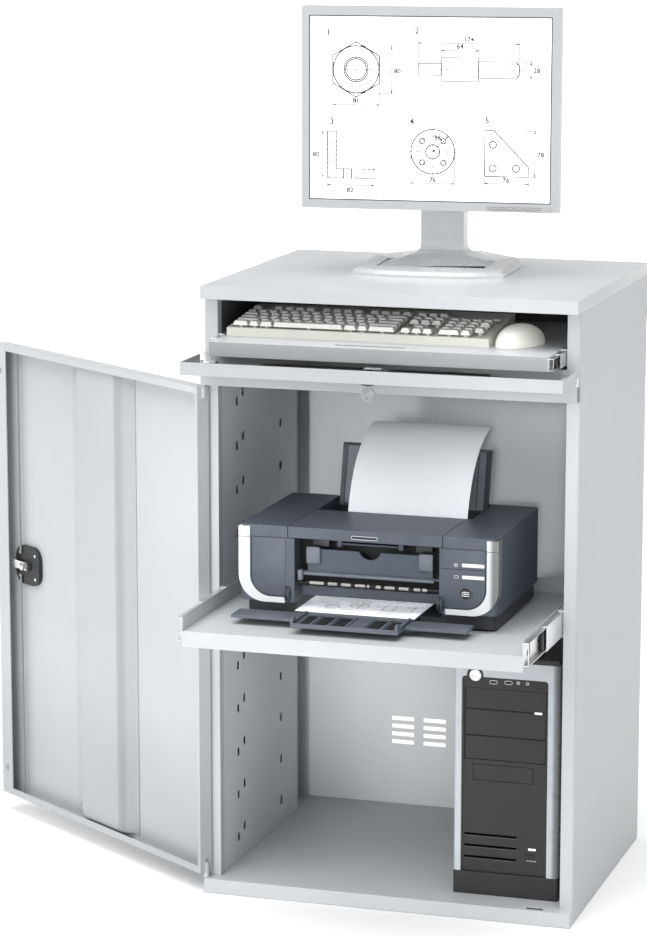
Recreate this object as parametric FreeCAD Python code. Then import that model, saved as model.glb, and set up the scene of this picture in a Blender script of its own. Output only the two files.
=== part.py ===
import FreeCAD, Part
import math
import os

# Computer workstation: a steel cabinet with a keyboard drawer behind a drop
# flap, a pull-out printer shelf, and the equipment that stands in and on it.
# Millimetres, +Z up. The origin is on the floor, under the cabinet's middle.
# The cabinet's front faces -Y and its hinged door stands open on the left.

# Cabinet body
cabinet_width = 650.0
cabinet_depth = 540.0
cabinet_height = 1060.0
front_overhang = 25.0
sheet = 1.5
lid_lip = 22.0
floor_lip = 25.0
stile_width = 23.0
stile_return = 20.0
fold = 20.0
inner_wall_depth = 410.0
drawer_space = 140.0
rail_height = 28.0
stiffener_width = 90.0
stiffener_length = 600.0
lever_slot_length = 28.0
lever_slot_width = 9.0

# Slots punched in the inner walls, and vents in the back
wall_slot_width = 13.0
wall_slot_height = 14.0
wall_slot_pitch = 78.0
wall_slot_columns = ((78.0, 66.0), (110.0, 78.0), (316.0, 67.0))
wall_slot_rows = 11
vent_length = 43.0
vent_height = 8.0
vent_row_pitch = 15.0
vent_column_pitch = 61.0
vent_low = 140.0
vent_rows = 4
vent_columns = 5

# Telescopic slides, three nested channels each
slide_depth = 12.7
slide_wall = 1.2
slide_gap = 0.4
tray_slide_height = 27.0
tray_slide_rise = 43.0
tray_slide_length = 400.0
shelf_slide_height = 45.0
shelf_slide_rise = 3.0
shelf_slide_length = 450.0
slide_setback = 2.0
tray_pulled_out = 83.0
shelf_pulled_out = 225.5

# Door, drawn shut and then swung open
door_width = 643.0
door_thickness = 24.0
door_bottom = 33.0
door_head_gap = 4.0
door_edge_gap = 1.0
door_open_degrees = 215.0
door_hinge_edge_return = 8.0
door_free_edge_return = 34.0
door_end_return = 12.0
hinge_inset = 2.0
hinge_setback = 10.0
hinge_pin_radius = 2.5
hinge_pin_reach = 12.0
hinge_boss_radius = 5.0
hinge_boss_length = 20.0
pin_clearance = 0.06
seat_clearance = 0.3
hat_inner = 231.0
hat_outer = 400.0
hat_slope = 20.0
hat_foot = 14.0
hat_depth = 15.0
hat_end_gap = 12.0
buffer_radius = 5.0
buffer_length = 0.9
buffer_inset = 16.0
buffer_from_end = 50.0

# Door lock: a turning handle, a cam and two rods
lock_radius_place = 566.0
lock_height = 479.0
lock_plate_width = 78.0
lock_plate_height = 72.0
lock_plate_corner = 24.0
spindle_radius = 6.0
cam_thickness = 3.0
cam_length = 44.0
cam_width = 15.0
handle_length = 95.0
handle_width = 20.0
handle_thickness = 12.0
handle_gap = 2.0
rod_place = 585.0
rod_width = 9.0
rod_thickness = 4.0
rod_lock_gap = 20.0
rod_guide_height = 10.0

# Drop flap, drawn shut and then let down
flap_height = 112.0
flap_thickness = 22.0
flap_floor_gap = 3.0
flap_open_degrees = 90.0
flap_pin_inset = 5.0
flap_pin_rise = 6.0
flap_notch = 15.0
flap_bracket_thickness = 3.0
flap_bracket_width = 10.0
flap_boss_length = 12.0
flap_lock_from_edge = 14.0
flap_lock_place = -4.0
flap_lock_radius = 8.0
flap_lock_proud = 3.0
flap_lock_length = 26.0
flap_plug_radius = 5.0
flap_cam_length = 24.0
flap_cam_width = 11.0
flap_cam_thickness = 2.0
key_stem_length = 10.0
key_stem_width = 7.0
key_thickness = 2.2
key_bow_radius = 12.0
key_hole_radius = 3.5

# Keyboard drawer
tray_rise = 55.0
tray_lip = 24.0
pen_slot_left = -79.0
pen_slot_length = 121.0
pen_slot_width = 11.0
pen_slot_from_front = 26.0

# Keyboard
keyboard_left = -284.0
keyboard_front = -251.0
keyboard_width = 455.0
keyboard_depth = 176.0
keyboard_front_height = 14.0
keyboard_back_height = 33.0
keyboard_edge = 7.0
key_pitch = 19.0
key_gap = 2.0
key_height = 8.0
key_taper = 3.0
key_well_depth = 3.0
key_stand = 3.5
key_stem = 6.0
key_stem_overlap = 2.0
space_bar_stem_depth = 5.0
space_bar_hole_depth = 9.0
space_bar_keys = 6.5
block_gap = 8.0

# Mouse
mouse_x = 213.0
mouse_y = -203.0
mouse_length = 115.0
mouse_width = 62.0
mouse_height = 36.0
mouse_turn_degrees = -20.0
mouse_button_length = 42.0
mouse_gap = 0.8
mouse_button_lift = 1.6

# Printer shelf
shelf_drop = 406.0
shelf_rim = 26.0
shelf_lip = 27.0
shelf_depth = 461.0

# Printer
printer_x = -8.0
printer_width = 442.0
printer_front = -343.0
printer_depth = 283.0
printer_height = 160.0
printer_foot = 4.0
printer_foot_size = 24.0
printer_base_height = 31.0
printer_base_inset = 6.0
printer_floor_height = 17.0
printer_wall = 3.0
printer_corner = 8.0
mouth_left = -135.0
mouth_right = 115.0
mouth_depth = 250.0
cover_left = -147.0
cover_right = 121.0
cover_depth = 151.0
cover_lip = 20.0
cover_thickness = 6.0
cover_gap = 1.0
cover_relief = 2.5
cover_pin_radius = 1.5
cover_ear = 8.0
cover_grip_left = -35.0
cover_grip_length = 43.0
cover_grip_height = 4.0
cover_grip_depth = 4.0
feed_left = -142.0
feed_right = 131.0
feed_depth = 128.0
trim_width = 20.0
trim_bar = 9.0
trim_proud = 3.0
trim_depth = 20.0
trim_corner = 45.0
trim_left_end = -151.0
trim_right_end = 126.0
trim_low = 30.0
guide_left = -116.0
guide_right = 100.0
guide_low = 80.0
guide_high = 122.0
guide_thickness = 4.0
guide_setback = 14.0
guide_notch = 20.0
roller_bar_radius = 3.0
roller_radius = 5.0
roller_length = 9.0
roller_count = 8
roller_height = 64.0
support_left = -137.0
support_right = 128.0
support_height = 108.0
support_thickness = 4.0
support_lean_degrees = 13.0
support_place = 263.0
support_low = 148.0
support_rib = 8.0
sheet_of_paper_width = 210.0
sheet_of_paper_thickness = 1.0
sheet_of_paper_left = -90.0
sheet_of_paper_run = ((151.5, 100.3), (153.0, 130.0), (158.0, 160.0), (196.5, 232.0), (240.5, 274.0),
                      (285.5, 287.0))
output_tray_left = -228.0
output_tray_right = 177.0
output_tray_depth = 48.0
output_tray_thickness = 5.0
output_tray_middle_left = -112.0
output_tray_middle_right = 72.0
output_tray_middle_depth = 88.0
output_tray_rise = 14.0
output_boss_radius = 4.0
output_pin_radius = 2.0
output_ear_sweep = 6.2
printed_sheet_left = -134.0
printed_sheet_width = 207.0
printed_sheet_length = 118.0
button_length = 38.0
button_height = 6.0
button_proud = 2.5
button_depth = 5.0
button_left = 154.0
button_high = 114.0
button_low = 94.0
button_gap = 0.4

# Tower computer
tower_left = 107.0
tower_right = 290.0
tower_front = -208.0
tower_depth = 448.0
tower_headroom = 42.0
tower_plinth = 40.0
tower_plinth_foot = 6.0
tower_lid = 9.0
tower_wall = 1.2
tower_front_depth = 22.0
tower_frame_left = 13.0
tower_frame_right = 20.0
tower_frame_proud = 5.0
tower_frame_top = 28.0
tower_frame_inset = 3.0
bay_margin = 5.0
bay_top_margin = 20.0
bay_level_shares = (1.0, 0.8824, 0.7399, 0.6099)
bay_gap = 1.0
bay_depth = 3.0
small_bay_left = 32.0
small_bay_right = 138.0
small_bay_shares = (0.4985, 0.5882)
small_bay_groove = 1.2
tower_slot_length = 92.0
tower_slot_height = 4.0
tower_slot_low = 63.0
tower_slot_pitch = 20.0
tower_slot_count = 3
power_radius = 11.0
power_place_x = 36.0
power_from_top = 35.0
power_depth = 9.0
power_rim = 3.5
reset_width = 16.0
reset_height = 4.0
reset_place_x = 132.0
reset_place_z = 75.0
reset_depth = 4.0
small_gap = 0.3

# Monitor, drawn square on and then turned on its foot
monitor_x = -4.0
monitor_y = 63.0
monitor_turn_degrees = 4.75
foot_low_outline = ((0.0, -117.0), (66.0, -112.0), (134.0, -95.0), (140.0, 76.0), (72.0, 150.0))
foot_high_outline = ((0.0, -113.0), (64.0, -108.0), (127.0, -96.0), (123.0, 82.0), (50.0, 150.0))
foot_lip = 3.0
foot_height = 9.0
foot_rise_share = 0.03
foot_opening = ((-98.0, -52.0), (98.0, -52.0), (95.0, 36.0), (-95.0, 36.0))
column_width = 76.0
column_front = 42.0
column_depth = 43.0
column_height = 150.0
column_wall = 3.0
sweep_low = 1.5
sweep_front = -42.0
sweep_front_height = 4.0
sweep_knee_height = 19.0
sweep_side_height = 9.0
sweep_bend = 28.0
sweep_side_bend = 17.0
sweep_side_knee = 21.0
slider_width = 60.0
slider_depth = 26.0
slider_low = 70.0
slider_high = 262.0
head_radius = 17.0
head_height = 34.0
head_gap = 0.3
head_arm_width = 40.0
tilt_pin_radius = 3.0
tilt_ear_width = 10.0
tilt_ear_gap = 0.4
tilt_neck = 8.0
screen_face_y = -84.0
screen_rise = 284.0
housing_width = 446.0
housing_height = 345.0
housing_depth = 50.0
housing_front_depth = 34.0
housing_taper = 60.0
housing_wall = 3.0
hump_width = 250.0
hump_height = 150.0
hump_depth = 18.0
hump_corner = 10.0
bezel_depth = 6.0
screen_width = 420.0
screen_height = 315.0
glass_thickness = 2.0
panel_setback = 1.5
monitor_button_count = 6
monitor_button_width = 12.0
monitor_button_pitch = 13.5
monitor_button_place = 107.0
monitor_button_height = 2.5
monitor_button_proud = 1.2
monitor_button_low = 4.0
monitor_power_radius = 4.5
monitor_power_place = 206.0
monitor_power_depth = 4.5

overrun = 5.0

# Places that many pieces share
half_width = cabinet_width / 2
front_y = -cabinet_depth / 2
body_front_y = front_y + front_overhang
back_y = cabinet_depth / 2
lid_low = cabinet_height - lid_lip
lid_under = cabinet_height - sheet
skin_x = half_width - sheet
opening_x = half_width - stile_width
inner_wall_front = body_front_y + stile_return
rail_top = cabinet_height - drawer_space
rail_low = rail_top - rail_height
tray_top = rail_top + tray_rise
tray_slide_middle_z = rail_top + tray_slide_rise
shelf_top = rail_top - shelf_drop
shelf_slide_middle_z = shelf_top + shelf_slide_rise
tray_half = opening_x - slide_depth
slide_front = body_front_y + slide_setback
tray_front = slide_front - tray_pulled_out
shelf_front = slide_front - shelf_pulled_out
hinge_x = -half_width + hinge_inset
hinge_y = front_y + hinge_setback
door_left = hinge_x - door_edge_gap
door_right = door_left + door_width
door_top = rail_low - door_head_gap
flap_low = rail_top + flap_floor_gap
flap_high = flap_low + flap_height
flap_pin_y = front_y + flap_pin_inset
flap_pin_z = flap_low + flap_pin_rise
printer_left = printer_x - printer_width / 2
printer_right = printer_x + printer_width / 2
printer_back = printer_front + printer_depth
printer_top = shelf_top + printer_height
tower_floor = floor_lip
tower_top = shelf_top - shelf_lip - tower_headroom
panel_low = tower_floor + tower_plinth
panel_high = tower_top - tower_lid - tower_frame_top
screen_middle_z = cabinet_height + screen_rise

UP = FreeCAD.Vector(0, 0, 1)
ACROSS = FreeCAD.Vector(1, 0, 0)
BACKWARD = FreeCAD.Vector(0, 1, 0)


def box(x0, x1, y0, y1, z0, z1):
    """A block between two corners."""
    return Part.makeBox(x1 - x0, y1 - y0, z1 - z0, FreeCAD.Vector(x0, y0, z0))


def rod(radius, length, x, y, z, direction):
    """A round bar from a point along a direction."""
    return Part.makeCylinder(radius, length, FreeCAD.Vector(x, y, z), direction)


def fuse(pieces):
    """One solid from pieces that meet or overlap."""
    return pieces[0].fuse(pieces[1:]).removeSplitter()


def mirrored(shape):
    """The same piece for the other side."""
    return shape.mirror(FreeCAD.Vector(0, 0, 0), ACROSS)


def polygon(points):
    """A flat face from corner points."""
    corners = [FreeCAD.Vector(*point) for point in points]
    return Part.Face(Part.makePolygon(corners + corners[:1]))


def upright_edges(shape):
    """The edges that run along Z."""
    found = []
    for edge in shape.Edges:
        ends = [vertex.Point for vertex in edge.Vertexes]
        if len(ends) == 2 and (ends[1] - ends[0]).cross(UP).Length < sheet / cabinet_height:
            found.append(edge)
    return found


def rounded_block(x0, x1, y0, y1, z0, z1, radius):
    """A block with its upright edges rounded."""
    block = box(x0, x1, y0, y1, z0, z1)
    return block.makeFillet(radius, upright_edges(block))


def save(name, *solids):
    """Write one node."""
    shape = solids[0]
    if len(solids) > 1:
        shape = Part.makeCompound(list(solids))
    if not shape.isValid():
        print("not valid:", name)
    shape.exportStep("parts/" + name + ".step")


def swing_door(shape):
    """Turn a piece of the shut door to where the open door stands."""
    turned = shape.copy()
    turned.rotate(FreeCAD.Vector(hinge_x, hinge_y, 0), UP, -door_open_degrees)
    return turned


def drop_flap(shape):
    """Turn a piece of the shut flap to its level open place."""
    turned = shape.copy()
    turned.rotate(FreeCAD.Vector(0, flap_pin_y, flap_pin_z), ACROSS, flap_open_degrees)
    return turned


def turn_monitor(shape):
    """Move a monitor piece from its own middle to its place on the top."""
    turned = shape.copy()
    turned.translate(FreeCAD.Vector(monitor_x, monitor_y, 0))
    turned.rotate(FreeCAD.Vector(monitor_x, monitor_y, 0), UP, monitor_turn_degrees)
    return turned


def side_panel():
    """Left outer skin with its front stile and its folds."""
    inner = -half_width + sheet
    skin = box(-half_width, inner, body_front_y, back_y - sheet, 0, lid_low)
    stile = box(-half_width, -opening_x, body_front_y, body_front_y + sheet, 0, lid_low)
    stile_fold = box(-opening_x - sheet, -opening_x, body_front_y, inner_wall_front, 0, lid_low)
    rear = box(-half_width, -half_width + fold, back_y - 2 * sheet, back_y - sheet, 0, lid_low)
    foot = box(-half_width, -half_width + fold, body_front_y, back_y - sheet, 0, sheet)
    head = box(-half_width, -half_width + fold, body_front_y, back_y - sheet, lid_low - sheet, lid_low)
    return fuse([skin, stile, stile_fold, rear, foot, head])


def inner_wall(low, high, slotted):
    """Left inner wall of the compartment, folded back to the skin at both ends."""
    rear = inner_wall_front + inner_wall_depth
    web = box(-opening_x - sheet, -opening_x, inner_wall_front, rear, low, high)
    front_fold = box(-skin_x, -opening_x, inner_wall_front, inner_wall_front + sheet, low, high)
    rear_fold = box(-skin_x, -opening_x, rear - sheet, rear, low, high)
    wall = fuse([web, front_fold, rear_fold])
    if not slotted:
        return wall
    cuts = []
    for from_front, first in wall_slot_columns:
        for row in range(wall_slot_rows):
            y = inner_wall_front + from_front
            z = first + row * wall_slot_pitch
            if z + wall_slot_height / 2 < high - wall_slot_height:
                cuts.append(box(-opening_x - sheet - overrun, -opening_x + overrun,
                                y - wall_slot_width / 2, y + wall_slot_width / 2,
                                z - wall_slot_height / 2, z + wall_slot_height / 2))
    return wall.cut(Part.makeCompound(cuts))


def back_panel():
    """Back sheet with its rows of air vents."""
    panel = box(-half_width, half_width, back_y - sheet, back_y, 0, lid_low)
    cuts = []
    for column in range(vent_columns):
        x = (column - (vent_columns - 1) / 2) * vent_column_pitch
        for row in range(vent_rows):
            z = vent_low + row * vent_row_pitch
            cuts.append(box(x - vent_length / 2, x + vent_length / 2,
                            back_y - sheet - overrun, back_y + overrun, z, z + vent_height))
    return panel.cut(Part.makeCompound(cuts))


def top_panel():
    """Folded lid that overhangs the front, open below."""
    outer = box(-half_width, half_width, front_y, back_y, lid_low, cabinet_height)
    hollow = box(-half_width + sheet, half_width - sheet, front_y + sheet, back_y - sheet,
                 lid_low + sheet, lid_under)
    window = box(-half_width + fold, half_width - fold, front_y + fold, back_y - fold,
                 lid_low - overrun, lid_low + 2 * sheet)
    return outer.cut(hollow).cut(window)


def floor_pan():
    """Bottom sheet with a deep front lip and a slot for the lower locking rod."""
    shelf = box(-skin_x, skin_x, inner_wall_front, back_y - 2 * sheet, floor_lip - sheet, floor_lip)
    neck = box(-opening_x, opening_x, body_front_y, inner_wall_front, floor_lip - sheet, floor_lip)
    ledge = box(-half_width, half_width, front_y, body_front_y, floor_lip - sheet, floor_lip)
    lip = box(-half_width, half_width, front_y, front_y + sheet, 0, floor_lip)
    foot = box(-half_width, half_width, front_y, front_y + fold, 0, sheet)
    end = box(-half_width, -half_width + sheet, front_y, body_front_y, 0, floor_lip)
    slot = rod_slot(floor_lip - sheet)
    return fuse([shelf, neck, ledge, lip, foot, end, mirrored(end)]).cut(slot)


def rod_slot(low):
    """Space that a locking rod passes through where the door is shut."""
    x = hinge_x + rod_place
    y = rod_face_y() + rod_thickness / 2
    return box(x - lever_slot_length / 2, x + lever_slot_length / 2, y - lever_slot_width / 2,
               y + lever_slot_width / 2, low - overrun, low + sheet + overrun)


def base_stiffener():
    """Hat-shaped channel that holds up the floor's middle."""
    outer = box(-stiffener_length / 2, stiffener_length / 2, -stiffener_width / 2, stiffener_width / 2,
                0, floor_lip - sheet)
    hollow = box(-stiffener_length / 2 - overrun, stiffener_length / 2 + overrun,
                 -stiffener_width / 2 + sheet, stiffener_width / 2 - sheet, sheet, floor_lip - sheet)
    return outer.cut(hollow)


def front_rail():
    """Folded box rail between the door and the flap."""
    outer = box(-half_width, half_width, front_y, body_front_y, rail_low, rail_top)
    hollow = box(-half_width - overrun, half_width + overrun, front_y + sheet, body_front_y - sheet,
                 rail_low + sheet, rail_top - sheet)
    return outer.cut(hollow).cut(rod_slot(rail_low))


def compartment_floor():
    """Sheet that parts the keyboard drawer's space from the lower one."""
    low = rail_top - sheet
    neck = box(-opening_x, opening_x, body_front_y, inner_wall_front, low, rail_top)
    main = box(-skin_x, skin_x, inner_wall_front, back_y - 2 * sheet, low, rail_top)
    return fuse([neck, main])


def slide_member(height, middle_z, length, front, member):
    """One channel of the right-hand slide: 0 fixed, 1 middle, 2 moving."""
    nested = member * (slide_wall + slide_gap)
    half = height / 2 - nested
    near = opening_x - nested
    far = opening_x - slide_depth + slide_wall + slide_gap
    if member == 2:
        near = opening_x - slide_depth + slide_wall
        far = opening_x - nested
        outer = box(near - slide_wall, far, front, front + length, middle_z - half, middle_z + half)
        hollow = box(near, far + overrun, front - overrun, front + length + overrun,
                     middle_z - half + slide_wall, middle_z + half - slide_wall)
        return outer.cut(hollow)
    outer = box(far, near, front, front + length, middle_z - half, middle_z + half)
    hollow = box(far - overrun, near - slide_wall, front - overrun, front + length + overrun,
                 middle_z - half + slide_wall, middle_z + half - slide_wall)
    return outer.cut(hollow)


def slide_pair(height, middle_z, length, pulled, member):
    """The same channel on both sides, drawn out as far as it stands."""
    front = slide_front - pulled * member / 2
    right = slide_member(height, middle_z, length, front, member)
    return [right, mirrored(right)]


def hinge_pins():
    """Door pivots at the foot and the head, and the flap's end brackets."""
    lower = rod(hinge_pin_radius, door_bottom - floor_lip + hinge_pin_reach, hinge_x, hinge_y, floor_lip, UP)
    washer = rod(hinge_boss_radius, door_bottom - floor_lip - seat_clearance, hinge_x, hinge_y, floor_lip, UP)
    upper = rod(hinge_pin_radius, rail_low - door_top + hinge_pin_reach, hinge_x, hinge_y,
                door_top - hinge_pin_reach, UP)
    bracket = box(half_width - flap_bracket_thickness, half_width, flap_pin_y - flap_bracket_width / 2,
                  flap_pin_y + flap_bracket_width / 2, rail_top, flap_pin_z + flap_bracket_width / 2)
    pin_length = flap_notch + flap_boss_length
    pin = rod(hinge_pin_radius, pin_length, half_width - pin_length, flap_pin_y, flap_pin_z, ACROSS)
    flap_pivot = fuse([bracket, pin])
    return [fuse([lower, washer]), upper, flap_pivot, mirrored(flap_pivot)]


def rod_face_y():
    """Outer side of the locking rods inside the shut door."""
    return front_y + door_thickness - rod_thickness - rod_guide_height


def door_panel():
    """Door pan folded on all four edges, with its pivot bosses."""
    back = front_y + door_thickness
    outer = box(door_left, door_right, front_y, back, door_bottom, door_top)
    hollow = box(door_left + sheet, door_right - sheet, front_y + sheet, back - sheet,
                 door_bottom + sheet, door_top - sheet)
    window = box(door_left + door_hinge_edge_return, door_right - door_free_edge_return,
                 back - 2 * sheet, back + overrun, door_bottom + door_end_return, door_top - door_end_return)
    pan = outer.cut(hollow).cut(window)
    low_boss = rod(hinge_boss_radius, hinge_boss_length, hinge_x, hinge_y, door_bottom, UP)
    high_boss = rod(hinge_boss_radius, hinge_boss_length, hinge_x, hinge_y, door_top - hinge_boss_length, UP)
    pan = fuse([pan, low_boss, high_boss])
    bore = hinge_pin_radius + pin_clearance
    for low in (door_bottom - overrun, door_top - hinge_boss_length - overrun):
        pan = pan.cut(rod(bore, hinge_boss_length + 2 * overrun, hinge_x, hinge_y, low, UP))
    for low in (door_bottom - overrun, door_top - sheet - overrun):
        x = hinge_x + rod_place
        y = rod_face_y()
        pan = pan.cut(box(x - rod_width / 2 - small_gap, x + rod_width / 2 + small_gap, y - small_gap,
                          y + rod_thickness + small_gap, low, low + sheet + 2 * overrun))
    x = hinge_x + lock_radius_place
    return pan.cut(rod(spindle_radius + pin_clearance, sheet + 2 * overrun, x, front_y - overrun,
                       lock_height, BACKWARD))


def door_stiffener():
    """Hat section welded down the door's inner side."""
    foot_y = front_y + sheet
    top_y = foot_y + hat_depth
    near = hinge_x + hat_inner
    far = hinge_x + hat_outer
    outer = polygon([(near - hat_foot, foot_y, 0), (far + hat_foot, foot_y, 0),
                     (far + hat_foot, foot_y + sheet, 0), (far, foot_y + sheet, 0),
                     (far - hat_slope, top_y, 0), (near + hat_slope, top_y, 0),
                     (near, foot_y + sheet, 0), (near - hat_foot, foot_y + sheet, 0)])
    inner = polygon([(near + 2 * sheet, foot_y, 0), (far - 2 * sheet, foot_y, 0),
                     (far - hat_slope - sheet, top_y - sheet, 0),
                     (near + hat_slope + sheet, top_y - sheet, 0)])
    low = door_bottom + hat_end_gap
    length = door_top - hat_end_gap - low
    hat = outer.extrude(UP * length).cut(inner.extrude(UP * length))
    hat.translate(UP * low)
    return hat


def lock_plate():
    """Dark lock case behind the handle, with a guide for the rods."""
    x = hinge_x + lock_radius_place
    y0 = front_y + sheet
    y1 = rod_face_y() - small_gap
    block = box(x - lock_plate_width / 2, x + lock_plate_width / 2, y0, y1,
                lock_height - lock_plate_height / 2, lock_height + lock_plate_height / 2)
    edges = [edge for edge in block.Edges if abs(edge.Length - (y1 - y0)) < sheet / 2]
    case = block.makeFillet(lock_plate_corner, edges)
    return case.cut(rod(spindle_radius + pin_clearance, y1 - y0 + 2 * overrun, x, y0 - overrun,
                        lock_height, BACKWARD))


def door_handle():
    """Lever on the outer side, its spindle, and the cam on the inner side."""
    x = hinge_x + lock_radius_place
    lever_y = front_y - handle_gap - handle_thickness
    cam_y = rod_face_y() + rod_thickness + small_gap
    lever = box(x - handle_width / 2, x + handle_width / 2, lever_y, lever_y + handle_thickness,
                lock_height - handle_length + handle_width / 2, lock_height + handle_width / 2)
    hub = rod(handle_width / 2, handle_gap - small_gap, x, lever_y + handle_thickness, lock_height, BACKWARD)
    spindle = rod(spindle_radius, cam_y + cam_thickness - lever_y, x, lever_y, lock_height, BACKWARD)
    cam = box(x - cam_width / 2, x + cam_length, cam_y, cam_y + cam_thickness,
              lock_height - cam_width / 2, lock_height + cam_width / 2)
    return fuse([lever, hub, spindle, cam])


def lock_rod(low, high):
    """Flat rod that the handle pushes out of the door's end."""
    x = hinge_x + rod_place
    y = rod_face_y()
    return box(x - rod_width / 2, x + rod_width / 2, y, y + rod_thickness, low, high)


def door_buffers():
    """Two rubber buffers on the free edge's return."""
    x = door_right - buffer_inset
    y = front_y + door_thickness
    return [rod(buffer_radius, buffer_length, x, y, z, BACKWARD)
            for z in (door_bottom + buffer_from_end, door_top - buffer_from_end)]


def flap_panel():
    """Drop flap, folded on all four edges and notched at its pivots."""
    back = front_y + flap_thickness
    outer = box(-half_width, half_width, front_y, back, flap_low, flap_high)
    hollow = box(-half_width + sheet, half_width - sheet, front_y + sheet, back + overrun,
                 flap_low + sheet, flap_high - sheet)
    pan = outer.cut(hollow)
    solids = []
    for side in (-1, 1):
        edge = side * half_width
        inner = side * (half_width - flap_notch)
        pan = pan.cut(box(min(edge, inner) - small_gap, max(edge, inner) + small_gap, front_y - overrun,
                          back + overrun, flap_low - overrun, flap_low + flap_notch))
        start = inner - side * flap_boss_length
        ends = (min(start, inner), max(start, inner))
        solids.append(rod(hinge_boss_radius, ends[1] - ends[0], ends[0], flap_pin_y, flap_pin_z, ACROSS))
        solids.append(box(ends[0], ends[1], front_y, flap_pin_y, flap_pin_z - hinge_boss_radius,
                          flap_pin_z + hinge_boss_radius))
    pan = fuse([pan] + solids)
    for side in (-1, 1):
        inner = side * (half_width - flap_notch)
        start = inner - side * flap_boss_length
        pan = pan.cut(rod(hinge_pin_radius + pin_clearance, flap_boss_length + 2 * overrun,
                          min(start, inner) - overrun, flap_pin_y, flap_pin_z, ACROSS))
    lock_z = flap_high - flap_lock_from_edge
    return pan.cut(rod(flap_lock_radius, sheet + 2 * overrun, flap_lock_place, front_y - overrun,
                       lock_z, BACKWARD))


def flap_lock():
    """Barrel of the flap's lock."""
    z = flap_high - flap_lock_from_edge
    y = front_y - flap_lock_proud
    barrel = rod(flap_lock_radius, flap_lock_length, flap_lock_place, y, z, BACKWARD)
    collar = rod(flap_lock_radius + flap_lock_proud, flap_lock_proud, flap_lock_place, y, z, BACKWARD)
    bore = rod(flap_plug_radius + pin_clearance, flap_lock_length + 2 * overrun, flap_lock_place,
               y - overrun, z, BACKWARD)
    return fuse([barrel, collar]).cut(bore)


def flap_key():
    """Plug, cam and key of the flap's lock, which turn as one."""
    z = flap_high - flap_lock_from_edge
    y = front_y - flap_lock_proud
    back = y + flap_lock_length
    plug = rod(flap_plug_radius, flap_lock_length + small_gap + flap_cam_thickness, flap_lock_place, y, z,
               BACKWARD)
    cam = box(flap_lock_place - flap_cam_width / 2, flap_lock_place + flap_cam_length,
              back + small_gap, back + small_gap + flap_cam_thickness,
              z - flap_cam_width / 2, z + flap_cam_width / 2)
    stem = box(flap_lock_place - key_stem_width / 2, flap_lock_place + key_stem_width / 2,
               y - key_stem_length, y, z - key_thickness / 2, z + key_thickness / 2)
    bow = rod(key_bow_radius, key_thickness, flap_lock_place, y - key_stem_length - key_bow_radius / 2,
              z - key_thickness / 2, UP)
    hole = rod(key_hole_radius, key_thickness + 2 * overrun, flap_lock_place,
               y - key_stem_length - key_bow_radius, z - key_thickness / 2 - overrun, UP)
    return fuse([plug, cam, stem, bow]).cut(hole)


def keyboard_tray():
    """Drawer pan that carries the keyboard, with a long pen slot."""
    low = tray_top - tray_lip
    rear = tray_front + tray_slide_length
    outer = box(-tray_half, tray_half, tray_front, rear, low, tray_top)
    hollow = box(-tray_half + sheet, tray_half - sheet, tray_front + sheet, rear - sheet,
                 low - overrun, tray_top - sheet)
    slot = box(pen_slot_left, pen_slot_left + pen_slot_length, tray_front + pen_slot_from_front,
               tray_front + pen_slot_from_front + pen_slot_width, tray_top - sheet - overrun,
               tray_top + overrun)
    return outer.cut(hollow).cut(slot)


def keyboard_slope():
    """Rise of the keyboard's top over its depth."""
    return (keyboard_back_height - keyboard_front_height) / keyboard_depth


def keyboard_case():
    """Wedge case with a sunk well under the keys."""
    y0 = keyboard_front
    y1 = keyboard_front + keyboard_depth
    z0 = tray_top
    wedge = polygon([(keyboard_left, y0, z0), (keyboard_left, y1, z0),
                     (keyboard_left, y1, z0 + keyboard_back_height),
                     (keyboard_left, y0, z0 + keyboard_front_height)])
    case = wedge.extrude(ACROSS * keyboard_width)
    for first, last, depth in key_wells():
        well = key_wedge(first, last, keyboard_edge, keyboard_edge + depth, -key_well_depth, overrun)
        case = case.cut(well)
    left, width = space_bar_place()
    return case.cut(key_foot(left, width, 0, space_bar_hole_depth, small_gap))


def key_wedge(x0, x1, from_front, to_back, low, high):
    """A block that follows the keyboard's slope, between two depths and two heights over its top."""
    y0 = keyboard_front + from_front
    y1 = keyboard_front + to_back
    z0 = tray_top + keyboard_front_height + from_front * keyboard_slope()
    z1 = tray_top + keyboard_front_height + to_back * keyboard_slope()
    face = polygon([(x0, y0, z0 + low), (x0, y1, z1 + low), (x0, y1, z1 + high), (x0, y0, z0 + high)])
    return face.extrude(ACROSS * (x1 - x0))


def key_blocks():
    """Left edges and widths, in key pitches, of the three blocks of keys."""
    main = keyboard_left + keyboard_edge
    cursor = main + 15 * key_pitch + block_gap
    number = cursor + 3 * key_pitch + block_gap
    return (main, 15), (cursor, 3), (number, 4)


def key_wells():
    """The sunk wells: left, right and depth."""
    wells = []
    for left, keys in key_blocks():
        wells.append((left - key_gap / 2, left + keys * key_pitch + key_gap / 2, 6.5 * key_pitch + key_gap))
    return wells


def key_rows():
    """Key widths of each row, front to back, as shares of the pitch; a negative share is a gap."""
    main_share = [[1.5, 1, 1.25, -space_bar_keys, 1.25, 1, 2.5],
                  [2.25] + [1] * 10 + [2.75],
                  [1.75] + [1] * 11 + [2.25],
                  [1.5] + [1] * 12 + [1.5],
                  [1] * 13 + [2],
                  [1, -1, 1, 1, 1, 1, -0.5, 1, 1, 1, 1, -0.5, 1, 1, 1, 1]]
    cursor_share = [[1, 1, 1], [-1, 1, -1], [-3], [1, 1, 1], [1, 1, 1], [1, 1, 1]]
    number_share = [[2, 1, -1], [1, 1, 1, 1], [1, 1, 1, -1], [1, 1, 1, 1], [1, 1, 1, 1], [-4]]
    return main_share, cursor_share, number_share


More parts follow.
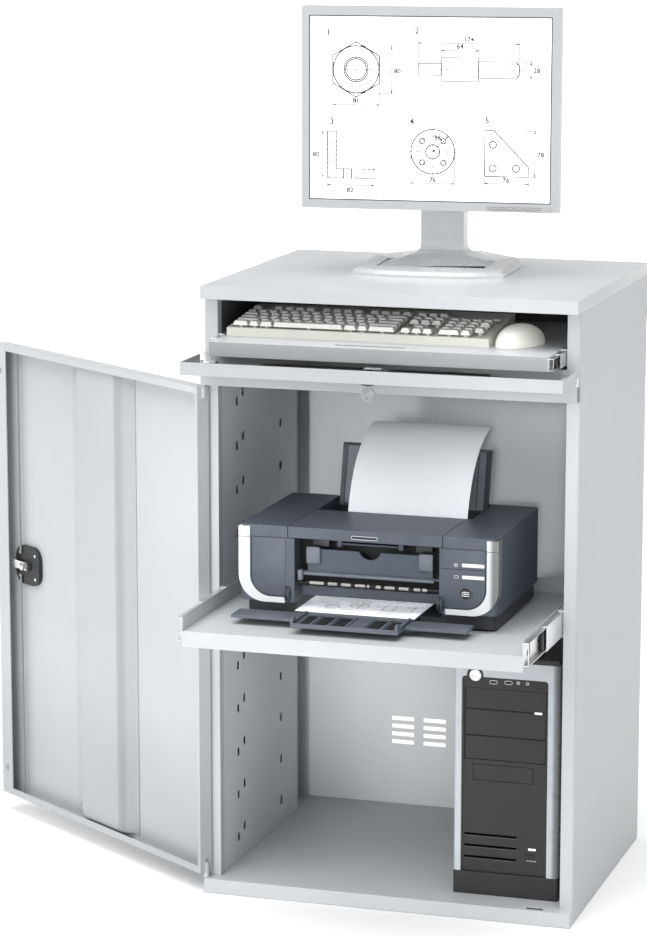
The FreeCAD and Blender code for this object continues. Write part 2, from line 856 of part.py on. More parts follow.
def key_row_start(row):
    """Distance of a row of keys from the keyboard's front; the last row stands half a pitch apart."""
    row_share = row + 0.5 * (row == 5)
    return keyboard_edge + row_share * key_pitch + key_gap / 2


def key_foot(x, width, row, depth, margin):
    """Square stem under a key, from a depth below the well's floor up into the cap."""
    middle_x = x + width / 2
    middle_y = key_row_start(row) + (key_pitch - key_gap) / 2
    half = key_stem / 2 + margin
    return key_wedge(middle_x - half, middle_x + half, middle_y - half, middle_y + half,
                     -key_well_depth - depth, key_stand - key_well_depth + key_stem_overlap)


def key_cap(x, width, row, foot_depth):
    """One key cap, tapered towards its top, on its stem."""
    y0 = keyboard_front + key_row_start(row)
    y1 = y0 + key_pitch - key_gap
    z = tray_top + keyboard_front_height - key_well_depth + key_stand
    z += (y1 - keyboard_front) * keyboard_slope()
    x0 = x + key_gap / 2
    x1 = x + width - key_gap / 2
    foot = Part.makePolygon([FreeCAD.Vector(*p) for p in
                             ((x0, y0, z), (x1, y0, z), (x1, y1, z), (x0, y1, z), (x0, y0, z))])
    t = key_taper
    top = z + key_height
    head = Part.makePolygon([FreeCAD.Vector(*p) for p in
                             ((x0 + t, y0 + t / 2, top), (x1 - t, y0 + t / 2, top),
                              (x1 - t, y1 - t / 2, top), (x0 + t, y1 - t / 2, top),
                              (x0 + t, y0 + t / 2, top))])
    cap = Part.makeLoft([foot, head], True, True)
    return fuse([cap, key_foot(x, width, row, foot_depth, 0)])


def keyboard_keys():
    """All the caps but the space bar."""
    caps = []
    for (left, _), rows in zip(key_blocks(), key_rows()):
        for row, widths in enumerate(rows):
            x = left
            for width in widths:
                if width > 0:
                    caps.append(key_cap(x, width * key_pitch, row, 0))
                x += abs(width) * key_pitch
    return caps


def space_bar_place():
    """Left edge and width of the long key."""
    return key_blocks()[0][0] + sum(key_rows()[0][0][:3]) * key_pitch, space_bar_keys * key_pitch


def space_bar():
    """The long key in the front row, with its stem in the case."""
    left, width = space_bar_place()
    return key_cap(left, width, 0, space_bar_stem_depth)


def mouse_body():
    """Half egg on the tray, before its buttons are cut."""
    ball = Part.makeSphere(mouse_width / 2)
    matrix = FreeCAD.Matrix()
    matrix.scale(1.0, mouse_length / mouse_width, 2 * mouse_height / mouse_width)
    egg = ball.transformGeometry(matrix)
    above = box(-mouse_width, mouse_width, -mouse_length, mouse_length, 0, mouse_height + overrun)
    return egg.common(above)


def mouse_parts():
    """Shell and its two front buttons."""
    body = mouse_body()
    reach = mouse_length / 2
    front = reach - mouse_button_length
    skin_low = mouse_height / 2
    zone = box(-mouse_width, mouse_width, front, mouse_length, skin_low, mouse_height + overrun)
    shell = body.cut(zone)
    lifted = box(-mouse_width, mouse_width, front + mouse_gap, mouse_length, skin_low + mouse_button_lift,
                 mouse_height + overrun)
    cap = body.common(lifted)
    right = cap.common(box(mouse_gap / 2, mouse_width, 0, mouse_length, 0, mouse_height + overrun))
    left = cap.common(box(-mouse_width, -mouse_gap / 2, 0, mouse_length, 0, mouse_height + overrun))
    placed = []
    for shape in (shell, left, right):
        moved = shape.copy()
        moved.rotate(FreeCAD.Vector(0, 0, 0), UP, mouse_turn_degrees)
        moved.translate(FreeCAD.Vector(mouse_x, mouse_y, tray_top))
        placed.append(moved)
    return placed


def printer_shelf():
    """Pull-out pan with a rim on three sides and a lip below the front."""
    rear = shelf_front + shelf_depth
    low = shelf_top - shelf_lip
    deck = box(-tray_half, tray_half, shelf_front, rear, shelf_top - sheet, shelf_top)
    lip = box(-tray_half, tray_half, shelf_front, shelf_front + sheet, low, shelf_top)
    left = box(-tray_half, -tray_half + sheet, shelf_front, rear, low, shelf_top + shelf_rim)
    back = box(-tray_half, tray_half, rear - sheet, rear, shelf_top - sheet, shelf_top + shelf_rim)
    return fuse([deck, lip, left, mirrored(left), back])


def printer_base():
    """Dark lower tray of the printer with four feet."""
    low = shelf_top + printer_foot
    high = shelf_top + printer_base_height
    inset = printer_base_inset
    tub = rounded_block(printer_left + inset, printer_right - inset, printer_front + 3 * inset,
                        printer_back, low, high, printer_corner)
    channel = box(mouth_left, mouth_right, printer_front, printer_front + mouth_depth,
                  shelf_top + printer_floor_height, high + overrun)
    feet = []
    for x in (printer_left + 2 * printer_foot_size, printer_right - 3 * printer_foot_size):
        for y in (printer_front + 2 * printer_foot_size, printer_back - 2 * printer_foot_size):
            feet.append(box(x, x + printer_foot_size, y, y + printer_foot_size, shelf_top, low))
    return fuse([tub.cut(channel)] + feet)


def printer_housing():
    """Outer case: two end towers joined by a back wall and a floor for the cover."""
    low = shelf_top + printer_base_height
    case = rounded_block(printer_left, printer_right, printer_front, printer_back, low, printer_top,
                         printer_corner)
    mouth = box(mouth_left, mouth_right, printer_front - overrun, printer_front + mouth_depth,
                low - overrun, printer_top - cover_lip)
    cover_space = box(cover_left, cover_right, printer_front - overrun,
                      printer_front + cover_depth + cover_relief, printer_top - cover_lip,
                      printer_top + overrun)
    feed = box(feed_left, feed_right, printer_front + cover_depth, printer_front + cover_depth + feed_depth,
               printer_top - 3 * cover_lip, printer_top + overrun)
    case = case.cut(mouth).cut(cover_space).cut(feed)
    roof = printer_top - printer_wall
    wall = 2 * printer_wall
    for x0, x1 in ((printer_left + wall, mouth_left - 2 * wall), (feed_right + wall, printer_right - wall)):
        case = case.cut(box(x0, x1, printer_front + wall, printer_back - wall, low - overrun, roof))
    for x, side in ((cover_left, 1), (cover_right, -1)):
        pin_x = min(x, x + side * cover_ear)
        case = fuse([case, rod(cover_pin_radius, cover_ear, pin_x, cover_pin_y(), cover_pin_z(), ACROSS)])
    y, z = support_pin()
    for x in (feed_left, feed_right - cover_ear):
        case = fuse([case, rod(cover_pin_radius, cover_ear, x, y, z, ACROSS)])
    return case


def cover_pin_y():
    """Line that the top cover turns about."""
    return printer_front + cover_depth - cover_thickness


def cover_pin_z():
    """Height of the top cover's pins."""
    return printer_top - cover_thickness


def printer_top_cover():
    """Middle part of the top, which lifts about its back edge."""
    x0 = cover_left + cover_gap
    x1 = cover_right - cover_gap
    y0 = printer_front
    y1 = printer_front + cover_depth - cover_gap
    plate = box(x0, x1, y0, y1, printer_top - cover_thickness / 2, printer_top)
    lip = box(x0, x1, y0, y0 + cover_thickness, printer_top - cover_lip + cover_gap, printer_top)
    grip = box(cover_grip_left, cover_grip_left + cover_grip_length, y0 - overrun, y0 + cover_grip_depth,
               printer_top - cover_lip / 2 - cover_grip_height, printer_top - cover_lip / 2)
    hubs = []
    for start in (x0, x1 - 2 * cover_ear):
        hubs.append(rod(cover_thickness - cover_gap, 2 * cover_ear, start, cover_pin_y(), cover_pin_z(),
                        ACROSS))
    cover = fuse([plate, lip] + hubs)
    bore = rod(cover_pin_radius + pin_clearance, cover_right - cover_left + 2 * overrun,
               cover_left - overrun, cover_pin_y(), cover_pin_z(), ACROSS)
    return cover.cut(grip).cut(bore)


def trim_outline(outer_x, end_x, side):
    """J-shaped band: down the front corner, round, and along under the panel."""
    top = printer_top - printer_wall
    low = shelf_top + trim_low
    r = trim_corner
    inner_r = trim_corner - trim_bar
    y = printer_front - trim_proud
    inner_x = outer_x + side * trim_width
    middle_out = FreeCAD.Vector(outer_x + side * r * (1 - math.sqrt(0.5)), y, low + r * (1 - math.sqrt(0.5)))
    bend_x = inner_x + side * inner_r
    middle_in = FreeCAD.Vector(bend_x - side * inner_r * math.sqrt(0.5), y,
                               low + trim_bar + inner_r * (1 - math.sqrt(0.5)))
    start = FreeCAD.Vector(outer_x, y, top)
    out_bend = FreeCAD.Vector(outer_x, y, low + r)
    out_low = FreeCAD.Vector(outer_x + side * r, y, low)
    end_low = FreeCAD.Vector(end_x, y, low)
    end_high = FreeCAD.Vector(end_x, y, low + trim_bar)
    in_low = FreeCAD.Vector(bend_x, y, low + trim_bar)
    in_bend = FreeCAD.Vector(inner_x, y, low + trim_bar + inner_r)
    in_top = FreeCAD.Vector(inner_x, y, top)
    edges = [Part.LineSegment(start, out_bend), Part.Arc(out_bend, middle_out, out_low),
             Part.LineSegment(out_low, end_low), Part.LineSegment(end_low, end_high),
             Part.LineSegment(end_high, in_low), Part.Arc(in_low, middle_in, in_bend),
             Part.LineSegment(in_bend, in_top), Part.LineSegment(in_top, start)]
    return Part.Face(Part.Wire([edge.toShape() for edge in edges]))


def printer_trims():
    """Light bands at both front ends, set over the case's corners."""
    bands = []
    for outer_x, end_x, side in ((printer_left, trim_left_end, 1), (printer_right, trim_right_end, -1)):
        face = trim_outline(outer_x - side * trim_proud, end_x, side)
        band = face.extrude(BACKWARD * trim_depth)
        body = rounded_block(printer_left, printer_right, printer_front, printer_back,
                             shelf_top, printer_top + overrun, printer_corner)
        bands.append(band.cut(body))
    return bands


def output_guide():
    """Notched guide plate, and the roller bar below it."""
    y = printer_front + guide_setback
    low = shelf_top + guide_low
    high = shelf_top + guide_high
    plate = box(guide_left, guide_right, y, y + guide_thickness, low, high)
    middle = (guide_left + guide_right) / 2
    notch = rod(guide_notch, guide_thickness + 2 * overrun, middle, y - overrun,
                high + guide_notch / 3, BACKWARD)
    ears = []
    for x0, x1 in ((mouth_left, guide_left), (guide_right, mouth_right)):
        ears.append(box(x0, x1, y, y + guide_thickness, low, low + guide_thickness))
    bar_z = shelf_top + roller_height
    bar = rod(roller_bar_radius, mouth_right - mouth_left, mouth_left, y, bar_z, ACROSS)
    rollers = []
    pitch = (guide_right - guide_left) / roller_count
    for index in range(roller_count):
        x = guide_left + (index + 0.5) * pitch - roller_length / 2
        rollers.append(rod(roller_radius, roller_length, x, y, bar_z, ACROSS))
    return [fuse([plate.cut(notch)] + ears), fuse([bar] + rollers)]


def support_pin():
    """Line that the paper support turns about."""
    return printer_front + support_place, shelf_top + support_low


def paper_support():
    """Framed rear panel that the sheets lean on."""
    y, z = support_pin()
    rib = support_rib
    panel = box(support_left, support_right, y - support_thickness / 2, y + support_thickness / 2,
                z, z + support_height)
    frame = []
    for x0, x1 in ((support_left, support_left + rib), (support_right - rib, support_right)):
        frame.append(box(x0, x1, y - support_thickness, y + support_thickness, z, z + support_height))
    frame.append(rod(support_thickness, feed_right - feed_left - 2 * small_gap, feed_left + small_gap, y, z,
                     ACROSS))
    bore = rod(cover_pin_radius + pin_clearance, feed_right - feed_left, feed_left, y, z, ACROSS)
    support = fuse([panel] + frame).cut(bore)
    support.rotate(FreeCAD.Vector(0, y, z), ACROSS, -support_lean_degrees)
    return support


def paper_stack():
    """Blank sheet standing in the feed and curling back at its top."""
    points = [FreeCAD.Vector(sheet_of_paper_left, printer_front + y, shelf_top + z)
              for y, z in sheet_of_paper_run]
    front = Part.BSplineCurve()
    front.interpolate(points)
    t = sheet_of_paper_thickness
    back_points = []
    for index, point in enumerate(points):
        ahead = points[min(index + 1, len(points) - 1)]
        behind = points[max(index - 1, 0)]
        way = ahead - behind
        way.normalize()
        back_points.append(point + FreeCAD.Vector(0, way.z * t, -way.y * t))
    back = Part.BSplineCurve()
    back.interpolate(back_points)
    edges = [front.toShape(), Part.LineSegment(points[-1], back_points[-1]).toShape(), back.toShape(),
             Part.LineSegment(back_points[0], points[0]).toShape()]
    face = Part.Face(Part.Wire(Part.sortEdges(edges)[0]))
    return face.extrude(ACROSS * sheet_of_paper_width)


def output_pin_y():
    """Line that the output tray turns about."""
    return printer_front - trim_proud - output_boss_radius - small_gap


def output_pin_z():
    """Height of the output tray's pins."""
    return shelf_top + output_tray_rise


def printer_output_tray():
    """Front tray that swings down, with a longer middle part."""
    y = output_pin_y()
    z = output_pin_z()
    high = z + output_tray_thickness / 2
    low = z - output_tray_thickness / 2
    wings = box(output_tray_left, output_tray_right, y - output_tray_depth, y, low, high)
    middle = box(output_tray_middle_left, output_tray_middle_right, y - output_tray_middle_depth, y,
                 low, high)
    rib_high = high + output_tray_thickness
    ribs = [box(x, x + output_tray_thickness, y - output_tray_middle_depth, y - output_tray_thickness,
                low, rib_high)
            for x in (output_tray_middle_left, output_tray_middle_right - output_tray_thickness)]
    barrel = rod(output_boss_radius, output_tray_middle_right - output_tray_middle_left,
                 output_tray_middle_left, y, z, ACROSS)
    bore = rod(output_pin_radius + pin_clearance, output_tray_middle_right - output_tray_middle_left,
               output_tray_middle_left, y, z, ACROSS)
    tray = fuse([wings, middle, barrel] + ribs).cut(bore)
    for x in output_ear_places():
        tray = tray.cut(rod(output_ear_sweep, output_boss_radius + 2 * small_gap, x - small_gap, y, z,
                            ACROSS))
    return tray


def output_ear_places():
    """Left faces of the two ears beside the tray's barrel."""
    return output_tray_middle_left - output_boss_radius - small_gap, output_tray_middle_right + small_gap


def output_hinge():
    """Pin and end ears that carry the output tray under the mouth."""
    y = output_pin_y()
    z = output_pin_z()
    ear = output_boss_radius
    ears = []
    for x in output_ear_places():
        ears.append(box(x, x + ear, y - ear, printer_front + 4 * printer_base_inset, z - ear,
                        shelf_top + printer_floor_height))
    pin = rod(output_pin_radius, output_tray_middle_right - output_tray_middle_left + 2 * ear,
              output_tray_middle_left - ear, y, z, ACROSS)
    return ears, pin


def printed_sheet():
    """Printed sheet lying in the mouth."""
    z = shelf_top + printer_floor_height
    return box(printed_sheet_left, printed_sheet_left + printed_sheet_width, printer_front,
               printer_front + printed_sheet_length, z, z + sheet_of_paper_thickness)


def printer_button(height):
    """Oblong key on the right-hand panel, with a stub behind it."""
    z = shelf_top + height
    return box(button_left, button_left + button_length, printer_front - button_proud,
               printer_front + button_depth, z - button_height / 2, z + button_height / 2)


def button_hole(height):
    """Space in the case around a key."""
    z = shelf_top + height
    g = button_gap
    return box(button_left - g, button_left + button_length + g, printer_front - overrun,
               printer_front + button_depth + 2 * button_proud, z - button_height / 2 - g,
               z + button_height / 2 + g)


def tower_chassis():
    """Folded steel case, open at the front."""
    y0 = tower_front + tower_front_depth
    y1 = tower_front + tower_depth
    x0 = tower_left + tower_frame_inset
    x1 = tower_right - tower_frame_inset
    z0 = tower_floor + tower_plinth_foot
    z1 = tower_top - tower_lid
    outer = box(x0, x1, y0, y1, z0, z1)
    hollow = box(x0 + tower_wall, x1 - tower_wall, y0 - overrun, y1 - tower_wall, z0 + tower_wall,
                 z1 - tower_wall)
    return outer.cut(hollow)


def tower_front_panel():
    """Black front with its drive bays, air slots and button holes."""
    x0 = tower_left + tower_frame_left
    x1 = tower_right - tower_frame_right
    z1 = panel_high
    panel = box(x0, x1, tower_front, tower_front + tower_front_depth, panel_low, z1)
    edges = [edge for edge in panel.Edges
             if abs(edge.Length - tower_front_depth) < sheet and edge.CenterOfMass.z > z1 - sheet]
    panel = panel.makeFillet(tower_frame_inset * 2, edges)
    panel = panel.cut(box(x0 + 2 * tower_frame_inset, x1 - 2 * tower_frame_inset,
                          tower_front + 2 * bay_depth + tower_frame_inset,
                          tower_front + tower_front_depth + overrun,
                          panel_low + 2 * tower_frame_inset, z1 - 2 * tower_frame_inset))
    for low, high in bay_levels():
        panel = panel.cut(box(x0 + bay_margin - bay_gap, x1 - bay_margin + bay_gap, tower_front - overrun,
                              tower_front + bay_depth, low + bay_gap / 2, high - bay_gap / 2))
    panel = panel.cut(small_bay_outline())
    for index in range(tower_slot_count):
        z = tower_floor + tower_slot_low + index * tower_slot_pitch
        panel = panel.cut(box(x0 + bay_margin, x0 + bay_margin + tower_slot_length, tower_front - overrun,
                              tower_front + tower_front_depth + overrun, z, z + tower_slot_height))
    x, z = power_place()
    panel = fuse([panel, rod(power_radius + power_rim, tower_front_depth, x, tower_front, z, BACKWARD)])
    panel = panel.cut(rod(power_radius + small_gap, tower_front_depth + 2 * overrun, x, tower_front - overrun,
                          z, BACKWARD))
    return panel.cut(reset_key(small_gap, tower_front_depth))


def bay_height(level_share):
    """Height of a level in the panel, as a share of the room under its top margin."""
    return panel_low + level_share * (panel_high - bay_top_margin - panel_low)


def bay_levels():
    """Low and high end of each drive bay, from the top one down."""
    heights = [bay_height(level_share) for level_share in bay_level_shares]
    return list(zip(heights[1:], heights))


def small_bay_outline():
    """Groove round the small drive's cover."""
    x0 = tower_left + small_bay_left
    x1 = tower_left + small_bay_right
    low, high = [bay_height(level_share) for level_share in small_bay_shares]
    g = small_bay_groove
    outer = box(x0, x1, tower_front - overrun, tower_front + g, low, high)
    return outer.cut(box(x0 + g, x1 - g, tower_front - 2 * overrun, tower_front + 2 * g, low + g, high - g))


def power_place():
    """Middle of the power button."""
    return tower_left + power_place_x, tower_top - power_from_top


def power_button():
    """Round button in its rim."""
    x, z = power_place()
    return rod(power_radius, power_depth, x, tower_front - power_depth / 2, z, BACKWARD)


def reset_key(margin, depth):
    """Oblong reset key, or the hole for it when there is a margin."""
    x = tower_left + reset_place_x
    z = tower_floor + reset_place_z
    return box(x - reset_width / 2 - margin, x + reset_width / 2 + margin, tower_front - reset_depth / 2,
               tower_front + depth, z - reset_height / 2 - margin, z + reset_height / 2 + margin)


def tower_side_frames():
    """Light frame round the front: two uprights and a top bar, as one moulding."""
    x0 = tower_left + tower_frame_left
    x1 = tower_right - tower_frame_right
    y0 = tower_front - tower_frame_proud
    y1 = tower_front + tower_front_depth
    low = panel_low
    high = tower_top - tower_lid
    outer = rounded_block(tower_left, tower_right, y0, y1 + tower_frame_inset * 3, low, high,
                          tower_frame_inset * 2)
    outer = outer.cut(box(tower_left - overrun, tower_right + overrun, y1, y1 + tower_front_depth, low, high))
    window = box(x0, x1, y0 - overrun, y1 + overrun, low - overrun, high - tower_frame_top)
    edges = [edge for edge in window.Edges
             if abs(edge.Length - (y1 - y0 + 2 * overrun)) < sheet and edge.CenterOfMass.z > high / 2]
    window = window.makeFillet(tower_frame_inset * 2, edges)
    frame = outer.cut(window)
    x, z = power_place()
    return frame.cut(rod(power_radius + power_rim, 4 * tower_front_depth, x, y0 - overrun, z, BACKWARD))


def tower_top_cover():
    """Black cap that laps over the case."""
    return rounded_block(tower_left, tower_right, tower_front - tower_frame_proud,
                         tower_front + tower_depth, tower_top - tower_lid, tower_top, tower_frame_inset)


def tower_drive_covers():
    """Three blank covers over the drive bays."""
    covers = []
    for low, high in bay_levels():
        covers.append(box(tower_left + tower_frame_left + bay_margin,
                          tower_right - tower_frame_right - bay_margin, tower_front + bay_depth / 3,
                          tower_front + bay_depth, low + bay_gap, high - bay_gap))
    return covers


def tower_feet():
    """Black plinth across the front foot, and two rear pads."""
    front = rounded_block(tower_left, tower_right, tower_front - tower_frame_proud,
                          tower_front + tower_front_depth, tower_floor, tower_floor + tower_plinth,
                          tower_frame_inset)
    y = tower_front + tower_depth - tower_front_depth
    pads = [rod(tower_frame_right / 2, tower_plinth_foot, x, y, tower_floor, UP)
            for x in (tower_left + tower_front_depth, tower_right - tower_front_depth)]
    return [front] + pads


def foot_wire(outline, level, rise_share):
    """Both halves of the foot's outline, as a wire in a level or gently rising plane."""
    right = list(outline)
    left = [(-x, y) for x, y in reversed(outline[1:])]
    start = outline[0][1]
    points = [FreeCAD.Vector(x, y, level + rise_share * (y - start)) for x, y in right + left]
    return Part.makePolygon(points + points[:1])


def column_sweep():
    """Column with the curved foot that runs forward and outward into the ring's opening."""
    z = cabinet_height
    back = column_front + column_depth
    half = column_width / 2
    root_share = math.sqrt(0.5)
    knee_z = z + sweep_knee_height
    bend_y = column_front - sweep_bend
    bend_middle = FreeCAD.Vector(0, bend_y + sweep_bend * root_share, knee_z + sweep_bend * (1 - root_share))
    bend = Part.Arc(FreeCAD.Vector(0, column_front, knee_z + sweep_bend), bend_middle,
                    FreeCAD.Vector(0, bend_y, knee_z))
    points = [FreeCAD.Vector(0, y, height) for y, height in
              ((bend_y, knee_z), (sweep_front, z + sweep_front_height), (sweep_front, z + sweep_low),
               (back, z + sweep_low), (back, z + column_height), (column_front, z + column_height),
               (column_front, knee_z + sweep_bend))]
    edges = [bend.toShape()] + [Part.makeLine(a, b) for a, b in zip(points, points[1:])]
    reach = foot_opening[1][0]
    side_view = Part.Face(Part.Wire(edges)).extrude(ACROSS * 2 * reach)
    side_view.translate(ACROSS * -reach)
    r = sweep_side_bend
    side_z = z + sweep_side_knee
    outer = FreeCAD.Vector(reach, sweep_front, z + sweep_side_height)
    knee = FreeCAD.Vector(half + r, sweep_front, side_z)
    top = FreeCAD.Vector(half, sweep_front, side_z + r)
    middle = FreeCAD.Vector(half + r * (1 - root_share), sweep_front, side_z + r * (1 - root_share))
    head = FreeCAD.Vector(half, sweep_front, z + column_height)
    floor = FreeCAD.Vector(reach, sweep_front, z + sweep_low)
    flip = FreeCAD.Matrix()
    flip.scale(-1, 1, 1)
    right = [Part.makeLine(floor, outer), Part.makeLine(outer, knee), Part.Arc(knee, middle, top).toShape(),
             Part.makeLine(top, head)]
    left = [edge.transformGeometry(flip) for edge in right]
    far_head = FreeCAD.Vector(-half, sweep_front, z + column_height)
    far_floor = FreeCAD.Vector(-reach, sweep_front, z + sweep_low)
    closing = [Part.makeLine(head, far_head), Part.makeLine(far_floor, floor)]
    wire = Part.Wire(Part.sortEdges(right + left + closing)[0])
    front_view = Part.Face(wire).extrude(BACKWARD * (back - sweep_front))
    return side_view.common(front_view)


def monitor_base():
    """Open ring foot, chamfered all round, and the hollow column that rises from its sweep."""
    z = cabinet_height
    low_wire = foot_wire(foot_low_outline, z, 0)
    lip = Part.Face(low_wire).extrude(UP * foot_lip)
    slope = Part.makeLoft([foot_wire(foot_low_outline, z + foot_lip, 0),
                           foot_wire(foot_high_outline, z + foot_height, foot_rise_share)], True, True)
    hole = polygon([(x, y, z - overrun) for x, y in foot_opening])
    hole = hole.extrude(UP * (foot_height + foot_lip + 2 * overrun))
    ring = fuse([lip, slope]).cut(hole)
    y = column_front + (column_depth - slider_depth) / 2
    well = box(-slider_width / 2 - head_gap, slider_width / 2 + head_gap, y - head_gap,
               y + slider_depth + head_gap, z + foot_height + column_wall, z + column_height + overrun)
    return fuse([ring, column_sweep()]).cut(well)


def monitor_slider():
    """Inner post that rises out of the column."""
    y = column_front + (column_depth - slider_depth) / 2
    z = cabinet_height
    return box(-slider_width / 2, slider_width / 2, y, y + slider_depth, z + slider_low, z + slider_high)


def tilt_axis():
    """Line that the screen tilts about."""
    y = screen_face_y + housing_depth + hump_depth + tilt_neck + head_radius / 2
    z = cabinet_height + slider_high + head_gap + head_height / 2
    return y, z


def monitor_head():
    """Turning head on the post, with the tilt pin through it."""
    y, z = tilt_axis()
    post_y = column_front + column_depth / 2
    low = cabinet_height + slider_high + head_gap
    disc = rod(head_radius, head_height / 4, 0, post_y, low, UP)
    arm = box(-head_arm_width / 2, head_arm_width / 2, y - head_radius / 3, post_y, low,
              low + head_height / 4)
    ear = box(-head_radius / 2, head_radius / 2, y - head_radius / 3, y + head_radius / 3, low,
              z + head_radius / 3)
    pin = rod(tilt_pin_radius, head_radius + 2 * tilt_ear_width, -head_radius / 2 - tilt_ear_width, y, z,
              ACROSS)
    return fuse([disc, arm, ear, pin])


def monitor_housing():
    """Rear shell of the screen with the two ears of its tilt hinge."""
    y0 = screen_face_y + bezel_depth
    y1 = screen_face_y + housing_front_depth
    y2 = screen_face_y + housing_depth
    z = screen_middle_z

    def ring(width, height, y):
        corners = ((-width / 2, y, z - height / 2), (width / 2, y, z - height / 2),
                   (width / 2, y, z + height / 2), (-width / 2, y, z + height / 2),
                   (-width / 2, y, z - height / 2))
        return Part.makePolygon([FreeCAD.Vector(*corner) for corner in corners])

    rim = box(-housing_width / 2, housing_width / 2, y0, y1, z - housing_height / 2, z + housing_height / 2)
    back = Part.makeLoft([ring(housing_width, housing_height, y1),
                          ring(housing_width - 2 * housing_taper, housing_height - 2 * housing_taper, y2)],
                         True, True)
    w = housing_wall
    hollow = box(-housing_width / 2 + w, housing_width / 2 - w, y0 - overrun, y1 - w,
                 z - housing_height / 2 + w, z + housing_height / 2 - w)
    hump = box(-hump_width / 2, hump_width / 2, y2 - w, y2 + hump_depth, z - hump_height / 2,
               z + hump_height / 2)
    hump = hump.makeFillet(hump_corner, [edge for edge in hump.Edges if edge.CenterOfMass.y > y2 + w])
    shell = fuse([rim, back, hump]).cut(hollow)
    tilt_y, tilt_z = tilt_axis()
    ears = []
    for side in (-1, 1):
        near = side * (head_radius / 2 + tilt_ear_gap)
        far = side * (head_radius / 2 + tilt_ear_width)
        ears.append(box(min(near, far), max(near, far), y2 + hump_depth - w, tilt_y + head_radius / 3,
                        tilt_z - head_radius / 3, tilt_z + head_radius / 3))
    shell = fuse([shell] + ears)
    reach = head_radius + 2 * tilt_ear_width + 2 * overrun
    return shell.cut(rod(tilt_pin_radius + pin_clearance, reach, -reach / 2, tilt_y, tilt_z, ACROSS))


def monitor_bezel():
    """Front frame round the screen."""
    z = screen_middle_z
    y1 = screen_face_y + bezel_depth
    outer = box(-housing_width / 2, housing_width / 2, screen_face_y, y1, z - housing_height / 2,
                z + housing_height / 2)
    hole = box(-screen_width / 2, screen_width / 2, screen_face_y - overrun, y1 + overrun,
               z - screen_height / 2, z + screen_height / 2)
    key = rod(monitor_power_radius + small_gap, bezel_depth + 2 * overrun, monitor_power_place,
              screen_face_y - overrun, monitor_power_height(), BACKWARD)
    return outer.cut(hole).cut(key)


def monitor_power_height():
    """Height of the power key's middle."""
    return screen_middle_z - housing_height / 2 + monitor_button_low + monitor_button_height / 2


def monitor_screen():
    """Display panel behind the bezel's window."""
    z = screen_middle_z
    y0 = screen_face_y + panel_setback
    face = box(-screen_width / 2, screen_width / 2, y0, y0 + glass_thickness, z - screen_height / 2,
               z + screen_height / 2)
    w = housing_wall
    block = box(-screen_width / 2 - w, screen_width / 2 + w, screen_face_y + bezel_depth,
                screen_face_y + housing_front_depth - w, z - screen_height / 2 - w, z + screen_height / 2 + w)
    link = box(-screen_width / 2, screen_width / 2, y0, screen_face_y + bezel_depth, z - screen_height / 2,
               z + screen_height / 2)
    return fuse([face, link, block])


def monitor_buttons():
    """Row of small keys under the screen's right half."""
    low = screen_middle_z - housing_height / 2 + monitor_button_low
    keys = []
    for index in range(monitor_button_count):
        x = monitor_button_place + index * monitor_button_pitch
        keys.append(box(x, x + monitor_button_width, screen_face_y - monitor_button_proud, screen_face_y,
                        low, low + monitor_button_height))
    return keys


def monitor_power():
    """Round power key at the end of the row."""
    return rod(monitor_power_radius, monitor_button_proud + monitor_power_depth, monitor_power_place,
               screen_face_y - monitor_button_proud, monitor_power_height(), BACKWARD)


def build_cabinet():
    left = side_panel()
    save("side_panel_left", left)
    save("side_panel_right", mirrored(left))
    lower = inner_wall(floor_lip, rail_top - sheet, True)
    upper = inner_wall(rail_top, lid_low - sheet, False)
    save("inner_walls", lower, mirrored(lower), upper, mirrored(upper))
    save("back_panel", back_panel())
    save("top_panel", top_panel())
    save("floor_pan", floor_pan())
    save("base_stiffener", base_stiffener())
    save("front_rail", front_rail())
    save("compartment_floor", compartment_floor())
    tray = slide_pair(tray_slide_height, tray_slide_middle_z, tray_slide_length, tray_pulled_out, 0)
    shelf = slide_pair(shelf_slide_height, shelf_slide_middle_z, shelf_slide_length, shelf_pulled_out, 0)
    save("rails_fixed", *tray, *shelf)
    save("hinge_pins", *hinge_pins())


def build_door():
    save("door_panel", swing_door(door_panel()))
    save("door_stiffener", swing_door(door_stiffener()))
    save("lock_plate", swing_door(lock_plate()))
    save("door_handle", swing_door(door_handle()))
    upper = lock_rod(lock_height + rod_lock_gap, door_top)
    lower = lock_rod(door_bottom, lock_height - rod_lock_gap)
    save("lock_rod_upper", swing_door(upper))
    save("lock_rod_lower", swing_door(lower))
    save("door_buffers", *[swing_door(item) for item in door_buffers()])


def build_flap():
    save("flap_panel", drop_flap(flap_panel()))
    save("flap_lock", drop_flap(flap_lock()))
    save("flap_key", drop_flap(flap_key()))


def build_keyboard_drawer():
    size = (tray_slide_height, tray_slide_middle_z, tray_slide_length, tray_pulled_out)
    save("tray_rails_middle", *slide_pair(*size, 1))
    save("tray_rails_moving", *slide_pair(*size, 2))
    save("keyboard_tray", keyboard_tray())
    save("keyboard_case", keyboard_case())
    save("keyboard_keys", *keyboard_keys())
    save("space_bar", space_bar())
    shell, left, right = mouse_parts()
    save("mouse_shell", shell)
    save("mouse_button_left", left)
    save("mouse_button_right", right)


